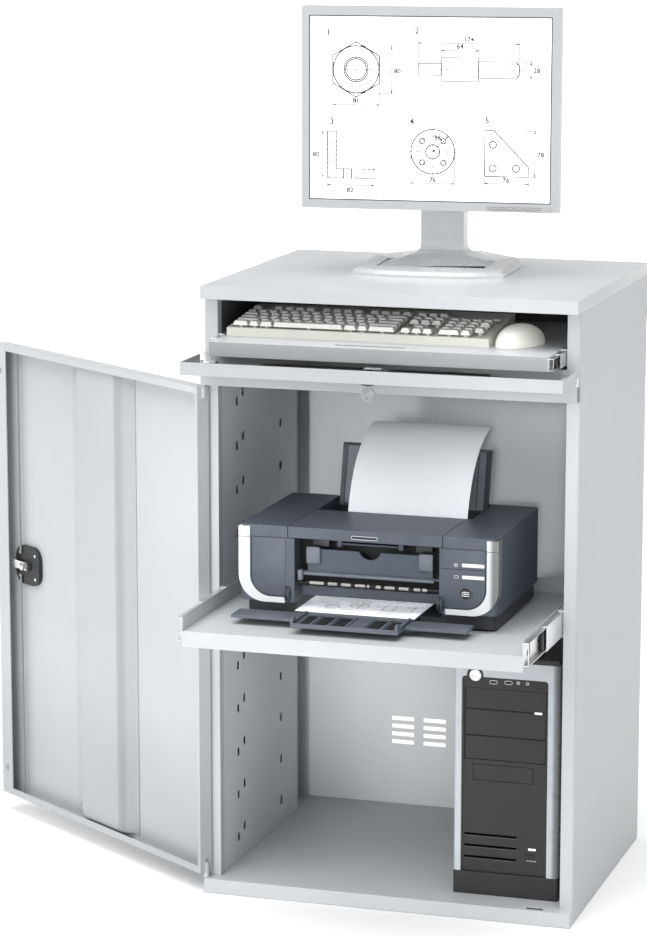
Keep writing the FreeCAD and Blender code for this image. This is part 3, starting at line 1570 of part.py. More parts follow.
def build_printer():
    size = (shelf_slide_height, shelf_slide_middle_z, shelf_slide_length, shelf_pulled_out)
    save("shelf_rails_middle", *slide_pair(*size, 1))
    save("shelf_rails_moving", *slide_pair(*size, 2))
    save("printer_shelf", printer_shelf())
    ears, pin = output_hinge()
    save("printer_base", fuse([printer_base()] + ears + [pin]))
    housing = printer_housing()
    for height in (button_high, button_low):
        housing = housing.cut(button_hole(height))
    save("printer_housing", housing)
    save("printer_trims", *printer_trims())
    save("printer_top_cover", printer_top_cover())
    save("printer_output_guide", *output_guide())
    save("paper_support", paper_support())
    save("paper_stack", paper_stack())
    save("printer_output_tray", printer_output_tray())
    save("printed_sheet", printed_sheet())
    save("printer_power_button", printer_button(button_high))
    save("printer_feed_button", printer_button(button_low))


def build_tower():
    save("tower_chassis", tower_chassis())
    save("tower_front_panel", tower_front_panel())
    save("tower_side_frames", tower_side_frames())
    save("tower_top_cover", tower_top_cover())
    save("tower_drive_covers", *tower_drive_covers())
    save("tower_feet", *tower_feet())
    save("tower_power_button", power_button())
    save("tower_reset_button", reset_key(0, reset_depth))


def build_monitor():
    save("monitor_base", turn_monitor(monitor_base()))
    save("monitor_slider", turn_monitor(monitor_slider()))
    save("monitor_head", turn_monitor(monitor_head()))
    save("monitor_housing", turn_monitor(monitor_housing()))
    save("monitor_bezel", turn_monitor(monitor_bezel()))
    save("monitor_screen", turn_monitor(monitor_screen()))
    save("monitor_buttons", *[turn_monitor(item) for item in monitor_buttons()])
    save("monitor_power_button", turn_monitor(monitor_power()))


os.makedirs("parts", exist_ok=True)
build_cabinet()
build_door()
build_flap()
build_keyboard_drawer()
build_printer()
build_tower()
build_monitor()
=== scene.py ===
import math
from contextlib import contextmanager
import bpy
from mathutils import Matrix, Vector


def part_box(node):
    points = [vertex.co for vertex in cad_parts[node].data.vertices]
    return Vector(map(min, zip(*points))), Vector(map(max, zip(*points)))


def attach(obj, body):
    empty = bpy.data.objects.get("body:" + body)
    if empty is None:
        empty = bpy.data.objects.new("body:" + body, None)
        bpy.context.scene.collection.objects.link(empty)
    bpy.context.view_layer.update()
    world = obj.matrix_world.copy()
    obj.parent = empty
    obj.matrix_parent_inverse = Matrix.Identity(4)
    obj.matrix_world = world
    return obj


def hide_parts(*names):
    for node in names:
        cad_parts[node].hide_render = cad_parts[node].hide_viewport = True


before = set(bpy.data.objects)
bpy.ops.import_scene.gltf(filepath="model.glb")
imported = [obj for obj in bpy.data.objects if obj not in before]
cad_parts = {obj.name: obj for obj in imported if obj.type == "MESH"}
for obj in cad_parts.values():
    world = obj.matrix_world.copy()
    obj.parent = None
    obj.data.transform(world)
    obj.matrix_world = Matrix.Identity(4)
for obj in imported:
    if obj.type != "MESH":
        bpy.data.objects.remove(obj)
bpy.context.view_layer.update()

# Camera, floor and light. The camera stands to the right of the cabinet's front at the
# photograph's angle and distance. The floor is plain and pale, the light is a soft white
# studio, brighter from the left front.
CAMERA_DOWN = 0.18685
CAMERA_TURN = 0.30606
bpy.ops.object.select_all(action="DESELECT")
bpy.ops.object.camera_add(location=(1.50341, -5.36700, 1.77236),
                          rotation=(math.pi / 2 - CAMERA_DOWN, 0, CAMERA_TURN))
camera = bpy.context.object
camera.data.lens = 125.06
bpy.context.scene.camera = camera
bpy.context.scene.view_settings.view_transform = "Standard"


def dial(node, **values):
    """Set a node's inputs, named as the node names them, with _ for a space."""
    for key, value in values.items():
        node.inputs[key.replace("_", " ")].default_value = value


def add(tree, kind, **values):
    """A new shader node with its inputs set."""
    node = tree.nodes.new("ShaderNode" + kind)
    dial(node, **values)
    return node


def graph(name):
    """A new material with its node tree, its shader and the object coordinates."""
    material = bpy.data.materials.new(name)
    material.use_nodes = True
    tree = material.node_tree
    return material, tree, tree.nodes["Principled BSDF"], add(tree, "TexCoord").outputs["Object"]


bpy.ops.mesh.primitive_plane_add(size=14, location=(0, 0, -0.0006))
floor = bpy.context.object
floor.name = "studio_floor"
bpy.ops.object.transform_apply(location=True)
floor_paint, tree, shader, place = graph("studio_floor_paint")
dial(shader, Roughness=0.85)
cloud = add(tree, "TexNoise", Scale=1.5)
tint = add(tree, "ValToRGB")
tint.color_ramp.elements[0].color = (0.90, 0.90, 0.90, 1)
tint.color_ramp.elements[1].color = (0.93, 0.93, 0.93, 1)
tree.links.new(place, cloud.inputs["Vector"])
tree.links.new(cloud.outputs["Fac"], tint.inputs["Fac"])
tree.links.new(tint.outputs["Color"], shader.inputs["Base Color"])
floor.data.materials.append(floor_paint)

world = bpy.data.worlds.new("studio_air")
bpy.context.scene.world = world
world.use_nodes = True
dial(world.node_tree.nodes["Background"], Color=(0.97, 0.985, 1.0, 1), Strength=0.36)


def lamp(kind, name, spot, aim, power):
    """A lamp at a spot, turned to the point it lights."""
    bpy.ops.object.light_add(type=kind, location=spot)
    light = bpy.context.object
    light.name = name
    light.data.energy = power
    light.rotation_euler = (Vector(aim) - light.location).to_track_quat("-Z", "Y").to_euler()
    return light.data


lamp("SUN", "top_light", (-0.3, -1.0, 3.0), (-0.2, -0.65, 2.0), 3.3).angle = math.radians(70)
for light_name, spot, aim, power, size in (
        ("key_light", (-1.3, -4.6, 2.2), (0, 0, 0.7), 35, 1.1),
        ("fill_light", (-0.2, -5.2, 0.5), (0, 0, 0.6), 18, 2.0),
        ("left_light", (-2.6, -2.4, 0.9), (-0.6, 0, 0.5), 6, 1.2),
        ("side_light", (1.3, 0.4, 3.5), (0.3, 0, 0.9), 17, 1.8)):
    lamp("AREA", light_name, spot, aim, power).size = size
for light_name, spot, aim, power, cone in (
        ("lower_bay_light", (0.1, -3.4, 0.28), (-0.16, 0.27, 0.28), 210, 9.5),
        ("left_bay_light", (-0.2, -3.4, 0.80), (-0.24, 0.27, 0.71), 330, 5.8),
        ("right_bay_light", (1.1, -3.9, 1.45), (0.13, 0.27, 0.70), 560, 4.2),
        ("drawer_light", (0.9, -3.9, 1.32), (0.15, -0.18, 0.972), 250, 3.9)):
    bay_light = lamp("SPOT", light_name, spot, aim, power)
    bay_light.shadow_soft_size = 0.20
    bay_light.spot_size = math.radians(cone)
    bay_light.spot_blend = 1.0

# Backdrop. A low wide white card, lit from behind, that stands well behind the object.
bpy.ops.mesh.primitive_plane_add(size=1, location=(-2.0, 7.0, 0.75), rotation=(math.pi / 2, 0, 0.306))
backdrop = bpy.context.object
backdrop.name = "studio_backdrop"
backdrop.scale = (16, 1.5, 1)
bpy.ops.object.transform_apply(location=True, rotation=True, scale=True)
card_white, tree, shader, place = graph("backdrop_white")
dial(shader, Emission_Color=(1, 1, 1, 1), Emission_Strength=1.0)
backdrop.data.materials.append(card_white)

# Cabinet body. Sheet steel 1.5 mm thick, folded and spot-welded, then powder-coated in a cool
# light grey. The inner walls and the back are the same steel, coated lighter as painted light in
# the compartment and dark towards the top as painted shade.


def mottle(tree, place, size, dark, light, stretch=(1, 1, 1)):
    """A noise, and the colour that drifts softly between two tones with it."""
    mapping = add(tree, "Mapping", Scale=stretch)
    noise = add(tree, "TexNoise", Scale=size, Detail=3)
    ramp = add(tree, "ValToRGB")
    for stop, position, tone in zip(ramp.color_ramp.elements, (0.35, 0.65), (dark, light)):
        stop.position = position
        stop.color = (*tone, 1)
    tree.links.new(place, mapping.inputs["Vector"])
    tree.links.new(mapping.outputs["Vector"], noise.inputs["Vector"])
    tree.links.new(noise.outputs["Fac"], ramp.inputs["Fac"])
    return noise.outputs["Fac"], ramp.outputs["Color"]


def roughness_drift(tree, drift, shader, low, high):
    """Roughness that follows a noise between two values."""
    spread = add(tree, "MapRange", To_Min=low, To_Max=high)
    tree.links.new(drift, spread.inputs["Value"])
    tree.links.new(spread.outputs["Result"], shader.inputs["Roughness"])


def grain(tree, place, shader, size, depth, edge):
    """Fine surface grain over softly rounded edges."""
    noise = add(tree, "TexNoise", Scale=size, Detail=2)
    bump = add(tree, "Bump", Strength=0.5, Distance=depth)
    tree.links.new(place, noise.inputs["Vector"])
    tree.links.new(noise.outputs["Fac"], bump.inputs["Height"])
    if edge:
        tree.links.new(add(tree, "Bevel", Radius=edge).outputs["Normal"], bump.inputs["Normal"])
    tree.links.new(bump.outputs["Normal"], shader.inputs["Normal"])


def surface(name, dark, light, rough, drift_size, grain_size, depth, edge,
            smoother=0.06, rougher=0.08, stretch=(1, 1, 1)):
    """A finish with drifting tone and gloss under a fine grain, and its shader."""
    material, tree, shader, place = graph(name)
    drift, tone = mottle(tree, place, drift_size, dark, light, stretch)
    tree.links.new(tone, shader.inputs["Base Color"])
    roughness_drift(tree, drift, shader, rough - smoother, rough + rougher)
    grain(tree, place, shader, grain_size, depth, edge)
    return material, shader


def powder_coat(name, dark, light, rough=0.40):
    """Baked powder coat: faint orange peel, faint drift of tone, soft gloss."""
    return surface(name, dark, light, rough, 4.0, 700.0, 0.00006, 0.0012, 0.05, 0.05)[0]


def coat(material, *node_names):
    """Give CAD nodes their finish."""
    for node_name in node_names:
        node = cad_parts[node_name]
        for slot in node.material_slots:
            slot.material = material
        if not node.material_slots:
            node.data.materials.append(material)


def shade_along(material, axis, start, end, share, skin=None):
    """Paint shade into a coat softly along one axis, from none at the start to a share at the end; a
    share above one paints light. A skin is an axis, a place on it and the one share that the coat
    takes beyond that place."""
    tree = material.node_tree
    shader = tree.nodes["Principled BSDF"]
    base = shader.inputs["Base Color"].links[0].from_socket
    parts = add(tree, "SeparateXYZ")
    fade = add(tree, "MapRange", From_Min=start, From_Max=end, To_Min=1.0, To_Max=share)
    fade.interpolation_type = "SMOOTHSTEP"
    darken = add(tree, "VectorMath")
    darken.operation = "SCALE"
    tree.links.new(add(tree, "TexCoord").outputs["Object"], parts.inputs["Vector"])
    tree.links.new(parts.outputs[axis], fade.inputs["Value"])
    tree.links.new(base, darken.inputs[0])
    kept_share = fade.outputs["Result"]
    if skin:
        skin_axis, skin_start, skin_share = skin
        beyond = add(tree, "Math")
        beyond.operation = "GREATER_THAN"
        beyond.inputs[1].default_value = skin_start
        choice = add(tree, "Mix", B=skin_share)
        tree.links.new(parts.outputs[skin_axis], beyond.inputs[0])
        tree.links.new(beyond.outputs["Value"], choice.inputs["Factor"])
        tree.links.new(kept_share, choice.inputs["A"])
        kept_share = choice.outputs["Result"]
    tree.links.new(kept_share, darken.inputs["Scale"])
    tree.links.new(darken.outputs["Vector"], shader.inputs["Base Color"])


LIGHT_GREY = ((0.52, 0.54, 0.556), (0.55, 0.57, 0.586))
light_grey_coat = powder_coat("light_grey_coat", *LIGHT_GREY)
shaded_side_coat = powder_coat("shaded_side_coat", *LIGHT_GREY)
# Painted shade: the front rail's coat is darker than the body's, for the shade under the drawer.
shaded_rail_coat = powder_coat("shaded_rail_coat", (0.43, 0.447, 0.460), (0.46, 0.477, 0.490))
lid_coat = powder_coat("lid_coat", (0.54, 0.56, 0.576), (0.57, 0.59, 0.606), 0.20)
# Painted light: the inner walls and the back are coated lighter than the body, for the light in the compartment.
lit_shaded_inner_coat = powder_coat("lit_shaded_inner_coat", (0.69, 0.715, 0.735), (0.72, 0.745, 0.765), 0.45)
lit_shaded_back_coat = powder_coat("lit_shaded_back_coat", (0.80, 0.825, 0.845), (0.83, 0.855, 0.875), 0.45)
back_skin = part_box("back_panel")[1][1] - 0.0008
# Painted shade: the right side's outer face a little darker, the inner walls dark above 0.9 m and the back above
# 0.83 m for the drawer space's shade, and the back's outer face, beyond its skin, brought back to the body's grey.
shade_along(shaded_side_coat, "X", start=0.3205, end=0.3235, share=0.88)
shade_along(lit_shaded_inner_coat, "Z", start=0.900, end=0.925, share=0.14)
shade_along(lit_shaded_back_coat, "Z", start=0.828, end=0.850, share=0.14, skin=("Y", back_skin, 0.65))
coat(light_grey_coat, "side_panel_left", "floor_pan", "base_stiffener")
coat(shaded_side_coat, "side_panel_right")
coat(shaded_rail_coat, "front_rail")
coat(lid_coat, "top_panel")
coat(lit_shaded_inner_coat, "inner_walls", "compartment_floor")
coat(lit_shaded_back_coat, "back_panel")

# Telescopic slides. Rolled steel channels, bright zinc-plated, three nested on each side, with
# balls running between them. They are riveted to the inner walls and to the drawers.


def plated_steel(name, dark, light, rough):
    """Bright plate with rolling marks along the channel."""
    material, shader = surface(name, dark, light, rough, 60.0, 380.0, 0.00004, 0.0008, stretch=(1, 0.08, 1))
    dial(shader, Metallic=0.9)
    return material


def plastic(name, dark, light, rough, speckle=900.0, depth=0.00004, edge=0.0006, glow=None, strength=0.0):
    """Moulded plastic: spark-eroded grain, tone that drifts a little, softened edges, and a glow where one is
    given, as painted light.
    """
    material, shader = surface(name, dark, light, rough, 30.0, speckle, depth, edge)
    if glow:
        dial(shader, Emission_Color=(*glow, 1), Emission_Strength=strength)
    return material


def drop_in(piece, material, body, name, place=None):
    """Give a new piece its name, place, finish and body."""
    piece.name = name
    if place:
        piece.data.transform(place)
        piece.data.update()
    piece.data.materials.clear()
    piece.data.materials.append(material)
    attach(piece, body)
    return piece


@contextmanager
def editing(select="SELECT"):
    """Edit mode on the active piece, with all of it selected, none, or what was chosen."""
    bpy.ops.object.mode_set(mode="EDIT")
    if select:
        bpy.ops.mesh.select_all(action=select)
    yield
    bpy.ops.object.mode_set(mode="OBJECT")


def block(low, high, rounding=0.0, segments=2):
    """A box between two corners with its edges rounded."""
    bpy.ops.mesh.primitive_cube_add(size=1, location=[(a + b) / 2 for a, b in zip(low, high)])
    piece = bpy.context.object
    piece.scale = [b - a for a, b in zip(low, high)]
    bpy.ops.object.transform_apply(location=True, rotation=False, scale=True)
    if rounding:
        with editing():
            bpy.ops.mesh.bevel(offset=rounding, segments=segments, affect="EDGES")
        bpy.ops.object.shade_smooth_by_angle(angle=math.radians(35))
    return piece


def round_piece(place, axis, radius, depth, rim, sides=24):
    """A short round bar along an axis with chamfered rims."""
    bpy.ops.mesh.primitive_cylinder_add(vertices=sides, radius=radius, depth=depth)
    piece = bpy.context.object
    with editing():
        bpy.ops.mesh.bevel(offset=rim, segments=2, affect="EDGES")
    bpy.ops.object.shade_smooth_by_angle(angle=math.radians(35))
    way = Vector(axis).to_track_quat("Z", "Y").to_matrix().to_4x4()
    piece.data.transform(Matrix.Translation(Vector(place)) @ way)
    return piece


def end_ring(low, high, rim):
    """A thin upright plate between two corners, cut open inside a rim."""
    piece = block(low, high)
    with editing("DESELECT"):
        bpy.ops.mesh.select_mode(type="FACE")
    for face in piece.data.polygons:
        face.select = abs(face.normal.y) > 0.9
    with editing(None):
        bpy.ops.mesh.inset(thickness=rim, use_individual=True)
        bpy.ops.mesh.bridge_edge_loops()
        bpy.ops.mesh.select_mode(type="VERT")
    return piece


zinc_plate = plated_steel("zinc_plate", (0.60, 0.61, 0.62), (0.78, 0.79, 0.80), 0.30)
cage_black = plastic("cage_black", (0.010, 0.010, 0.011), (0.018, 0.018, 0.019), 0.45)
# Dark plates that paint the shade inside slots, holes and gaps.
painted_slot_shade = plastic("painted_slot_shade", (0.006, 0.006, 0.007), (0.010, 0.010, 0.011), 0.7)
coat(zinc_plate, "rails_fixed", "tray_rails_middle", "tray_rails_moving", "shelf_rails_middle",
     "shelf_rails_moving", "hinge_pins")
CHANNEL_DEPTH = 0.0083
CHANNEL_STEEL = 0.0012
SLOT_SPANS = ((0.021, 0.025, -0.35, 0.12), (0.033, 0.038, -0.35, 0.62))
HOLE_PLACES = (0.095, 0.135)
for drawer, middle, moving, body, carrier in (
        ("shelf", "shelf_rails_middle", "shelf_rails_moving", "printer_shelf", "shelf_slides"),
        ("tray", "tray_rails_middle", "tray_rails_moving", "keyboard_drawer", "drawer_slides")):
    low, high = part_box(moving)
    middle_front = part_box(middle)[0][1]
    half = (high[2] - low[2]) / 2
    centre_z = (high[2] + low[2]) / 2
    for side, side_name in ((1, "right"), (-1, "left")):
        web = side * (high[0] - CHANNEL_DEPTH)
        lip = side * high[0]
        near, far = sorted((web, web + side * 0.0004))
        # The channels' slots and holes are dark plates, painted shade inside the openings.
        for index, (start, end, bottom, top) in enumerate(SLOT_SPANS):
            slot = block((near, low[1] + start, centre_z + bottom * half),
                         (far, low[1] + end, centre_z + top * half), 0.0001)
            drop_in(slot, painted_slot_shade, body, f"{drawer}_slide_slot_{side_name}_{index}")
        for index, along in enumerate(HOLE_PLACES):
            hole = round_piece((web, low[1] + along, centre_z), (side, 0, 0), 0.0028, 0.0008, 0.0002, 20)
            drop_in(hole, painted_slot_shade, body, f"{drawer}_slide_hole_{side_name}_{index}")
        near, far = sorted((web, lip - side * CHANNEL_STEEL))
        cage = block((near + 0.0006, middle_front - 0.014, centre_z - half + 0.0016),
                     (far - 0.0006, middle_front + 0.002, centre_z + half - 0.0016), 0.0012)
        drop_in(cage, cage_black, carrier, f"{drawer}_ball_cage_{side_name}")
        near, far = sorted((web - side * CHANNEL_STEEL, lip))
        end = end_ring((near, low[1] - 0.0004, low[2]), (far, low[1] + 0.0010, high[2]), 0.0013)
        drop_in(end, zinc_plate, body, f"{drawer}_slide_end_{side_name}")

# Door. A pan of the same powder-coated sheet, folded on its four edges, with a hat-shaped
# stiffener spot-welded down its inner side and two rubber buffers on the free edge.
shaded_door_coat = powder_coat("shaded_door_coat", (0.50, 0.52, 0.536), (0.53, 0.55, 0.566))
lit_shaded_stiffener_coat = powder_coat("lit_shaded_stiffener_coat", (0.46, 0.48, 0.496), (0.49, 0.51, 0.526))
rubber_grey = plastic("rubber_grey", (0.30, 0.30, 0.31), (0.36, 0.36, 0.37), 0.7)
# Painted light and shade: the door's coat is a touch darker than the body's; the stiffener's coat darkens across
# its sloped side and lightens again past it; both darken towards the door's foot.
shade_along(lit_shaded_stiffener_coat, "X", start=-0.548, end=-0.538, share=0.74)
shade_along(lit_shaded_stiffener_coat, "X", start=-0.532, end=-0.518, share=1.24)
for material in (shaded_door_coat, lit_shaded_stiffener_coat):
    shade_along(material, "Z", start=0.36, end=0.10, share=0.82)
coat(shaded_door_coat, "door_panel")
coat(lit_shaded_stiffener_coat, "door_stiffener")
coat(rubber_grey, "door_buffers")
HINGE = Vector((-0.323, -0.260, 0))
OPEN_ANGLE = math.radians(-215)
DOOR_SKIN = -0.2685
WELD_ROWS = (0.226, 0.405)
WELD_RADIUS = 0.0018
SLIT_BOTTOMS = (0.043, 0.848)
SLIT_HEIGHT = 0.026
door_place = Matrix.Translation(HINGE) @ Matrix.Rotation(OPEN_ANGLE, 4, "Z") @ Matrix.Translation(-HINGE)
for index, along in enumerate(WELD_ROWS):
    for step in range(9):
        dimple = round_piece((-0.323 + along, DOOR_SKIN + 0.0017, 0.06 + step * 0.1), (0, 1, 0),
                             WELD_RADIUS, 0.0004, 0.00015, 12)
        drop_in(dimple, lit_shaded_stiffener_coat, "door", f"weld_dimple_{index}_{step}", door_place)
# Two slits by the hinge, as dark plates that paint the shade inside them.
for index, bottom in enumerate(SLIT_BOTTOMS):
    slit = block((-0.323 + 0.0185, DOOR_SKIN + 0.0014, bottom),
                 (-0.323 + 0.0215, DOOR_SKIN + 0.0018, bottom + SLIT_HEIGHT), 0.0001)
    drop_in(slit, painted_slot_shade, "door", f"hinge_slit_{index}", door_place)

# Door lock. A black moulded case screwed to the pan, a turned and plated cam on the handle's
# spindle, the plated handle outside, and two thin round rods coated like the door.
lock_black = plastic("lock_black", (0.010, 0.011, 0.012), (0.020, 0.021, 0.023), 0.38)
chrome = plated_steel("chrome_plate", (0.55, 0.56, 0.57), (0.75, 0.76, 0.77), 0.16)
coat(lock_black, "lock_plate")
coat(chrome, "door_handle")
LOCK_X = -0.323 + 0.566
LOCK_Z = 0.479
LOCK_FACE = -0.2605
ROD_RADIUS = 0.0021
for side in (-1, 1):
    for end in (-1, 1):
        screw = round_piece((LOCK_X + side * 0.026, LOCK_FACE + 0.0005, LOCK_Z + end * 0.022), (0, 1, 0),
                            0.0032, 0.0018, 0.0005, 20)
        drop_in(screw, chrome, "door", f"lock_screw_{side + 1}_{end + 1}", door_place)
lock_ring = round_piece((LOCK_X, LOCK_FACE + 0.0009, LOCK_Z), (0, 1, 0), 0.0125, 0.0032, 0.0008, 40)
drop_in(lock_ring, lock_black, "door", "lock_collar", door_place)
nut = round_piece((LOCK_X, LOCK_FACE + 0.013, LOCK_Z), (0, 1, 0), 0.0075, 0.004, 0.0008, 6)
drop_in(nut, chrome, "door_handle", "cam_nut", door_place)
for node_name in ("lock_rod_upper", "lock_rod_lower"):
    low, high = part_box(node_name)
    middle = [(a + b) / 2 for a, b in zip(low, high)]
    rod = round_piece(middle, (0, 0, 1), ROD_RADIUS, high[2] - low[2], 0.0006, 16)
    drop_in(rod, light_grey_coat, node_name, f"round_{node_name}")
    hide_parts(node_name)

# Drop flap. Folded sheet like the door's, hinged on two end brackets, here let down level.
# A flat stiffener is welded into its middle. Its lock barrel and key are nickel-plated.
key_steel = plated_steel("key_steel", (0.26, 0.27, 0.28), (0.42, 0.43, 0.44), 0.30)
shaded_flap_stiffener_grey = powder_coat("shaded_flap_stiffener_grey", (0.17, 0.18, 0.19), (0.20, 0.21, 0.22), 0.5)
painted_shadow_grey = powder_coat("painted_shadow_grey", (0.095, 0.10, 0.106), (0.115, 0.12, 0.126), 0.6)
# Painted shade: the flap takes the front rail's darker coat, its stiffener plates a dark grey, and a thin dark
# liner over its inner floor paints the shade in its hollow.
coat(shaded_rail_coat, "flap_panel")
coat(lock_black, "flap_lock")
coat(key_steel, "flap_key")
flap_low, flap_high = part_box("flap_panel")
flap_front, flap_back = flap_low[1], flap_high[1]
flap_floor = flap_low[2] + 0.0017
stiffener_top = flap_floor + 0.012
liner = block((-0.316, flap_front + 0.0035, flap_floor), (0.316, flap_back - 0.020, flap_floor + 0.0008), 0.0002)
drop_in(liner, painted_shadow_grey, "flap", "flap_painted_shadow_liner")
for index, (start, end) in enumerate(((-0.205, -0.022), (0.014, 0.185))):
    plate = block((start, flap_front + 0.018, flap_floor), (end, flap_back - 0.030, stiffener_top), 0.0012)
    drop_in(plate, shaded_flap_stiffener_grey, "flap", f"flap_stiffener_{index}")
lock_case = block((-0.0215, flap_front + 0.026, flap_floor),
                  (0.0135, flap_front + 0.058, stiffener_top - 0.003), 0.0008)
drop_in(lock_case, lock_black, "flap", "flap_lock_case")
lock_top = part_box("flap_lock")[1][2]
lock_nub = round_piece((-0.004, -0.357, lock_top + 0.0002), (0, 0, 1), 0.0048, 0.0012, 0.0004)
drop_in(lock_nub, chrome, "flap", "flap_lock_nub")

# Keyboard drawer. A shallow folded tray of the same coated sheet on ball slides. Its front face
# is painted darker than its top, as painted shade, and a dark plate in the pen slot paints the
# shade inside it.
tray_coat_shaded_front = powder_coat("tray_coat_shaded_front", (0.55, 0.57, 0.586), (0.58, 0.60, 0.616), 0.36)
shade_along(tray_coat_shaded_front, "Y", start=-0.3246, end=-0.3256, share=0.66)
coat(tray_coat_shaded_front, "keyboard_tray")
pen_slot = block((-0.079, -0.3000, 0.9722), (0.042, -0.2890, 0.9730), 0.0002)
drop_in(pen_slot, painted_slot_shade, "keyboard_drawer", "pen_slot_painted_shade")

# Keyboard. Cream moulded plastic, a wedge case with rounded edges and tapered key caps whose
# tops are smooth and slightly lighter, all without legends.


def pick(piece):
    """Make a piece the active one and the only one selected."""
    bpy.ops.object.select_all(action="DESELECT")
    bpy.context.view_layer.objects.active = piece
    piece.select_set(True)


def bevel(piece, width, angle):
    """Round the edges of the active piece that are sharper than an angle."""
    rounding = piece.modifiers.new("rounding", "BEVEL")
    rounding.width = width
    rounding.segments = 2
    rounding.limit_method = "ANGLE"
    rounding.angle_limit = math.radians(angle)
    bpy.ops.object.modifier_apply(modifier="rounding")


def even_shading(piece):
    """Smooth shading over rounded edges that leaves the flat faces flat."""
    bpy.ops.object.shade_smooth_by_angle(angle=math.radians(35))
    weighting = piece.modifiers.new("weighting", "WEIGHTED_NORMAL")
    weighting.keep_sharp = True
    bpy.ops.object.modifier_apply(modifier="weighting")


def bevelled_copy(node_name, width, material, body, name):
    """The CAD node's own form with its edges really rounded, in place of the node."""
    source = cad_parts[node_name]
    piece = source.copy()
    piece.data = source.data.copy()
    piece.parent = None
    piece.matrix_world = source.matrix_world.copy()
    bpy.context.collection.objects.link(piece)
    pick(piece)
    if width:
        with editing():
            bpy.ops.mesh.remove_doubles(threshold=0.00001)
            bpy.ops.mesh.dissolve_limited(angle_limit=math.radians(2))
            bpy.ops.mesh.normals_make_consistent(inside=False)
        bevel(piece, width, 30)
        even_shading(piece)
    drop_in(piece, material, body, name)
    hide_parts(node_name)
    return piece


keyboard_cream = plastic("keyboard_cream", (0.69, 0.68, 0.62), (0.73, 0.72, 0.655), 0.42)
key_cream = plastic("key_cream", (0.84, 0.835, 0.80), (0.88, 0.875, 0.84), 0.36)
bevelled_copy("keyboard_case", 0.0022, keyboard_cream, "keyboard_drawer", "keyboard_shell")
bevelled_copy("keyboard_keys", 0.0008, key_cream, "keyboard_drawer", "key_caps")
bevelled_copy("space_bar", 0.0010, key_cream, "space_bar", "space_bar_cap")

# Mouse. Cream moulded shell with flat underside, high rounded back and two button caps
# parted by a fine gap.
MOUSE = Vector((0.213, -0.203, 0.975))
MOUSE_TURN = math.radians(-20)
HALF_WIDTH = 0.031
HALF_LENGTH = 0.0575
HEIGHT = 0.0358
SEAM_Y = HALF_LENGTH - 0.042
SEAM_Z = 0.0185
mouse_place = Matrix.Translation(MOUSE) @ Matrix.Rotation(MOUSE_TURN, 4, "Z")
# The cream is given a faint glow, as painted light.
mouse_cream_painted_glow = plastic("mouse_cream_painted_glow", (0.88, 0.87, 0.80), (0.90, 0.89, 0.82), 0.30,
                      glow=(0.90, 0.89, 0.82), strength=0.12)


def mouse_form(name):
    """The whole mouse as one closed form: an egg with full flanks, flat below."""
    bpy.ops.mesh.primitive_uv_sphere_add(segments=56, ring_count=36, radius=1)
    form = bpy.context.object
    form.name = name
    for vertex in form.data.vertices:
        x, y, z = vertex.co
        flank = 1 - 0.10 * max(y, 0) ** 2
        height = abs(z) ** 0.86
        vertex.co.x = HALF_WIDTH * x * flank * (1 + 0.04 * (1 - height))
        vertex.co.y = HALF_LENGTH * y
        vertex.co.z = math.copysign(HEIGHT * height * (1 - 0.10 * y), z)
    return form


def cut_away(form, *cuts):
    """Cut a form at planes and close it, keeping the side away from each normal."""
    pick(form)
    for point, normal in cuts:
        with editing():
            bpy.ops.mesh.bisect(plane_co=point, plane_no=normal, use_fill=True, clear_outer=True)


def soften(form, width, angle=50):
    """Round the sharp edges that cutting left."""
    bpy.context.view_layer.objects.active = form
    bevel(form, width, angle)
    bpy.ops.object.shade_smooth_by_angle(angle=math.radians(40))


lower = mouse_form("mouse_lower")
cut_away(lower, ((0, 0, SEAM_Z), (0, 0, 1)), ((0, 0, 0.0004), (0, 0, -1)))
back = mouse_form("mouse_back")
cut_away(back, ((0, SEAM_Y, 0), (0, 1, 0)), ((0, 0, SEAM_Z), (0, 0, -1)))
soften(lower, 0.0005)
soften(back, 0.0005)
drop_in(lower, mouse_cream_painted_glow, "keyboard_drawer", "mouse_lower", mouse_place)
drop_in(back, mouse_cream_painted_glow, "keyboard_drawer", "mouse_back", mouse_place)
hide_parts("mouse_shell")
for side, side_name in ((1, "right"), (-1, "left")):
    cap = mouse_form("mouse_cap")
    cut_away(cap, ((0, SEAM_Y + 0.0008, 0), (0, -1, 0)), ((0, 0, SEAM_Z + 0.0016), (0, 0, -1)),
             ((side * 0.0004, 0, 0), (-side, 0, 0)))
    soften(cap, 0.0004)
    drop_in(cap, mouse_cream_painted_glow, f"mouse_button_{side_name}", f"mouse_cap_{side_name}", mouse_place)
    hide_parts(f"mouse_button_{side_name}")

# Printer shelf. Folded pan of the cabinet's coated sheet with raised side rims and a lip below
# its front, carried by the lower pair of slides.
coat(light_grey_coat, "printer_shelf")

# Printer case. Slate-grey moulded shell with rounded edges on a darker base, in matt textured
# plastic, with a lid over the middle that lifts at its front grip.
printer_slate = plastic("printer_slate", (0.072, 0.086, 0.111), (0.087, 0.103, 0.132), 0.46)
printer_dark = plastic("printer_dark", (0.022, 0.025, 0.031), (0.032, 0.036, 0.044), 0.42)
printer_silver = plastic("printer_silver", (0.66, 0.68, 0.70), (0.74, 0.76, 0.78), 0.30)
key_white = plastic("key_white", (0.84, 0.85, 0.86), (0.90, 0.91, 0.92), 0.30)
seam_black = plastic("seam_black", (0.006, 0.007, 0.008), (0.010, 0.011, 0.012), 0.6)
bevelled_copy("printer_housing", 0.0016, printer_slate, "printer_shelf", "printer_case")
bevelled_copy("printer_base", 0.0016, printer_dark, "printer_shelf", "printer_foot_tray")
bevelled_copy("printer_top_cover", 0.0010, printer_slate, "printer_top_cover", "printer_lid")
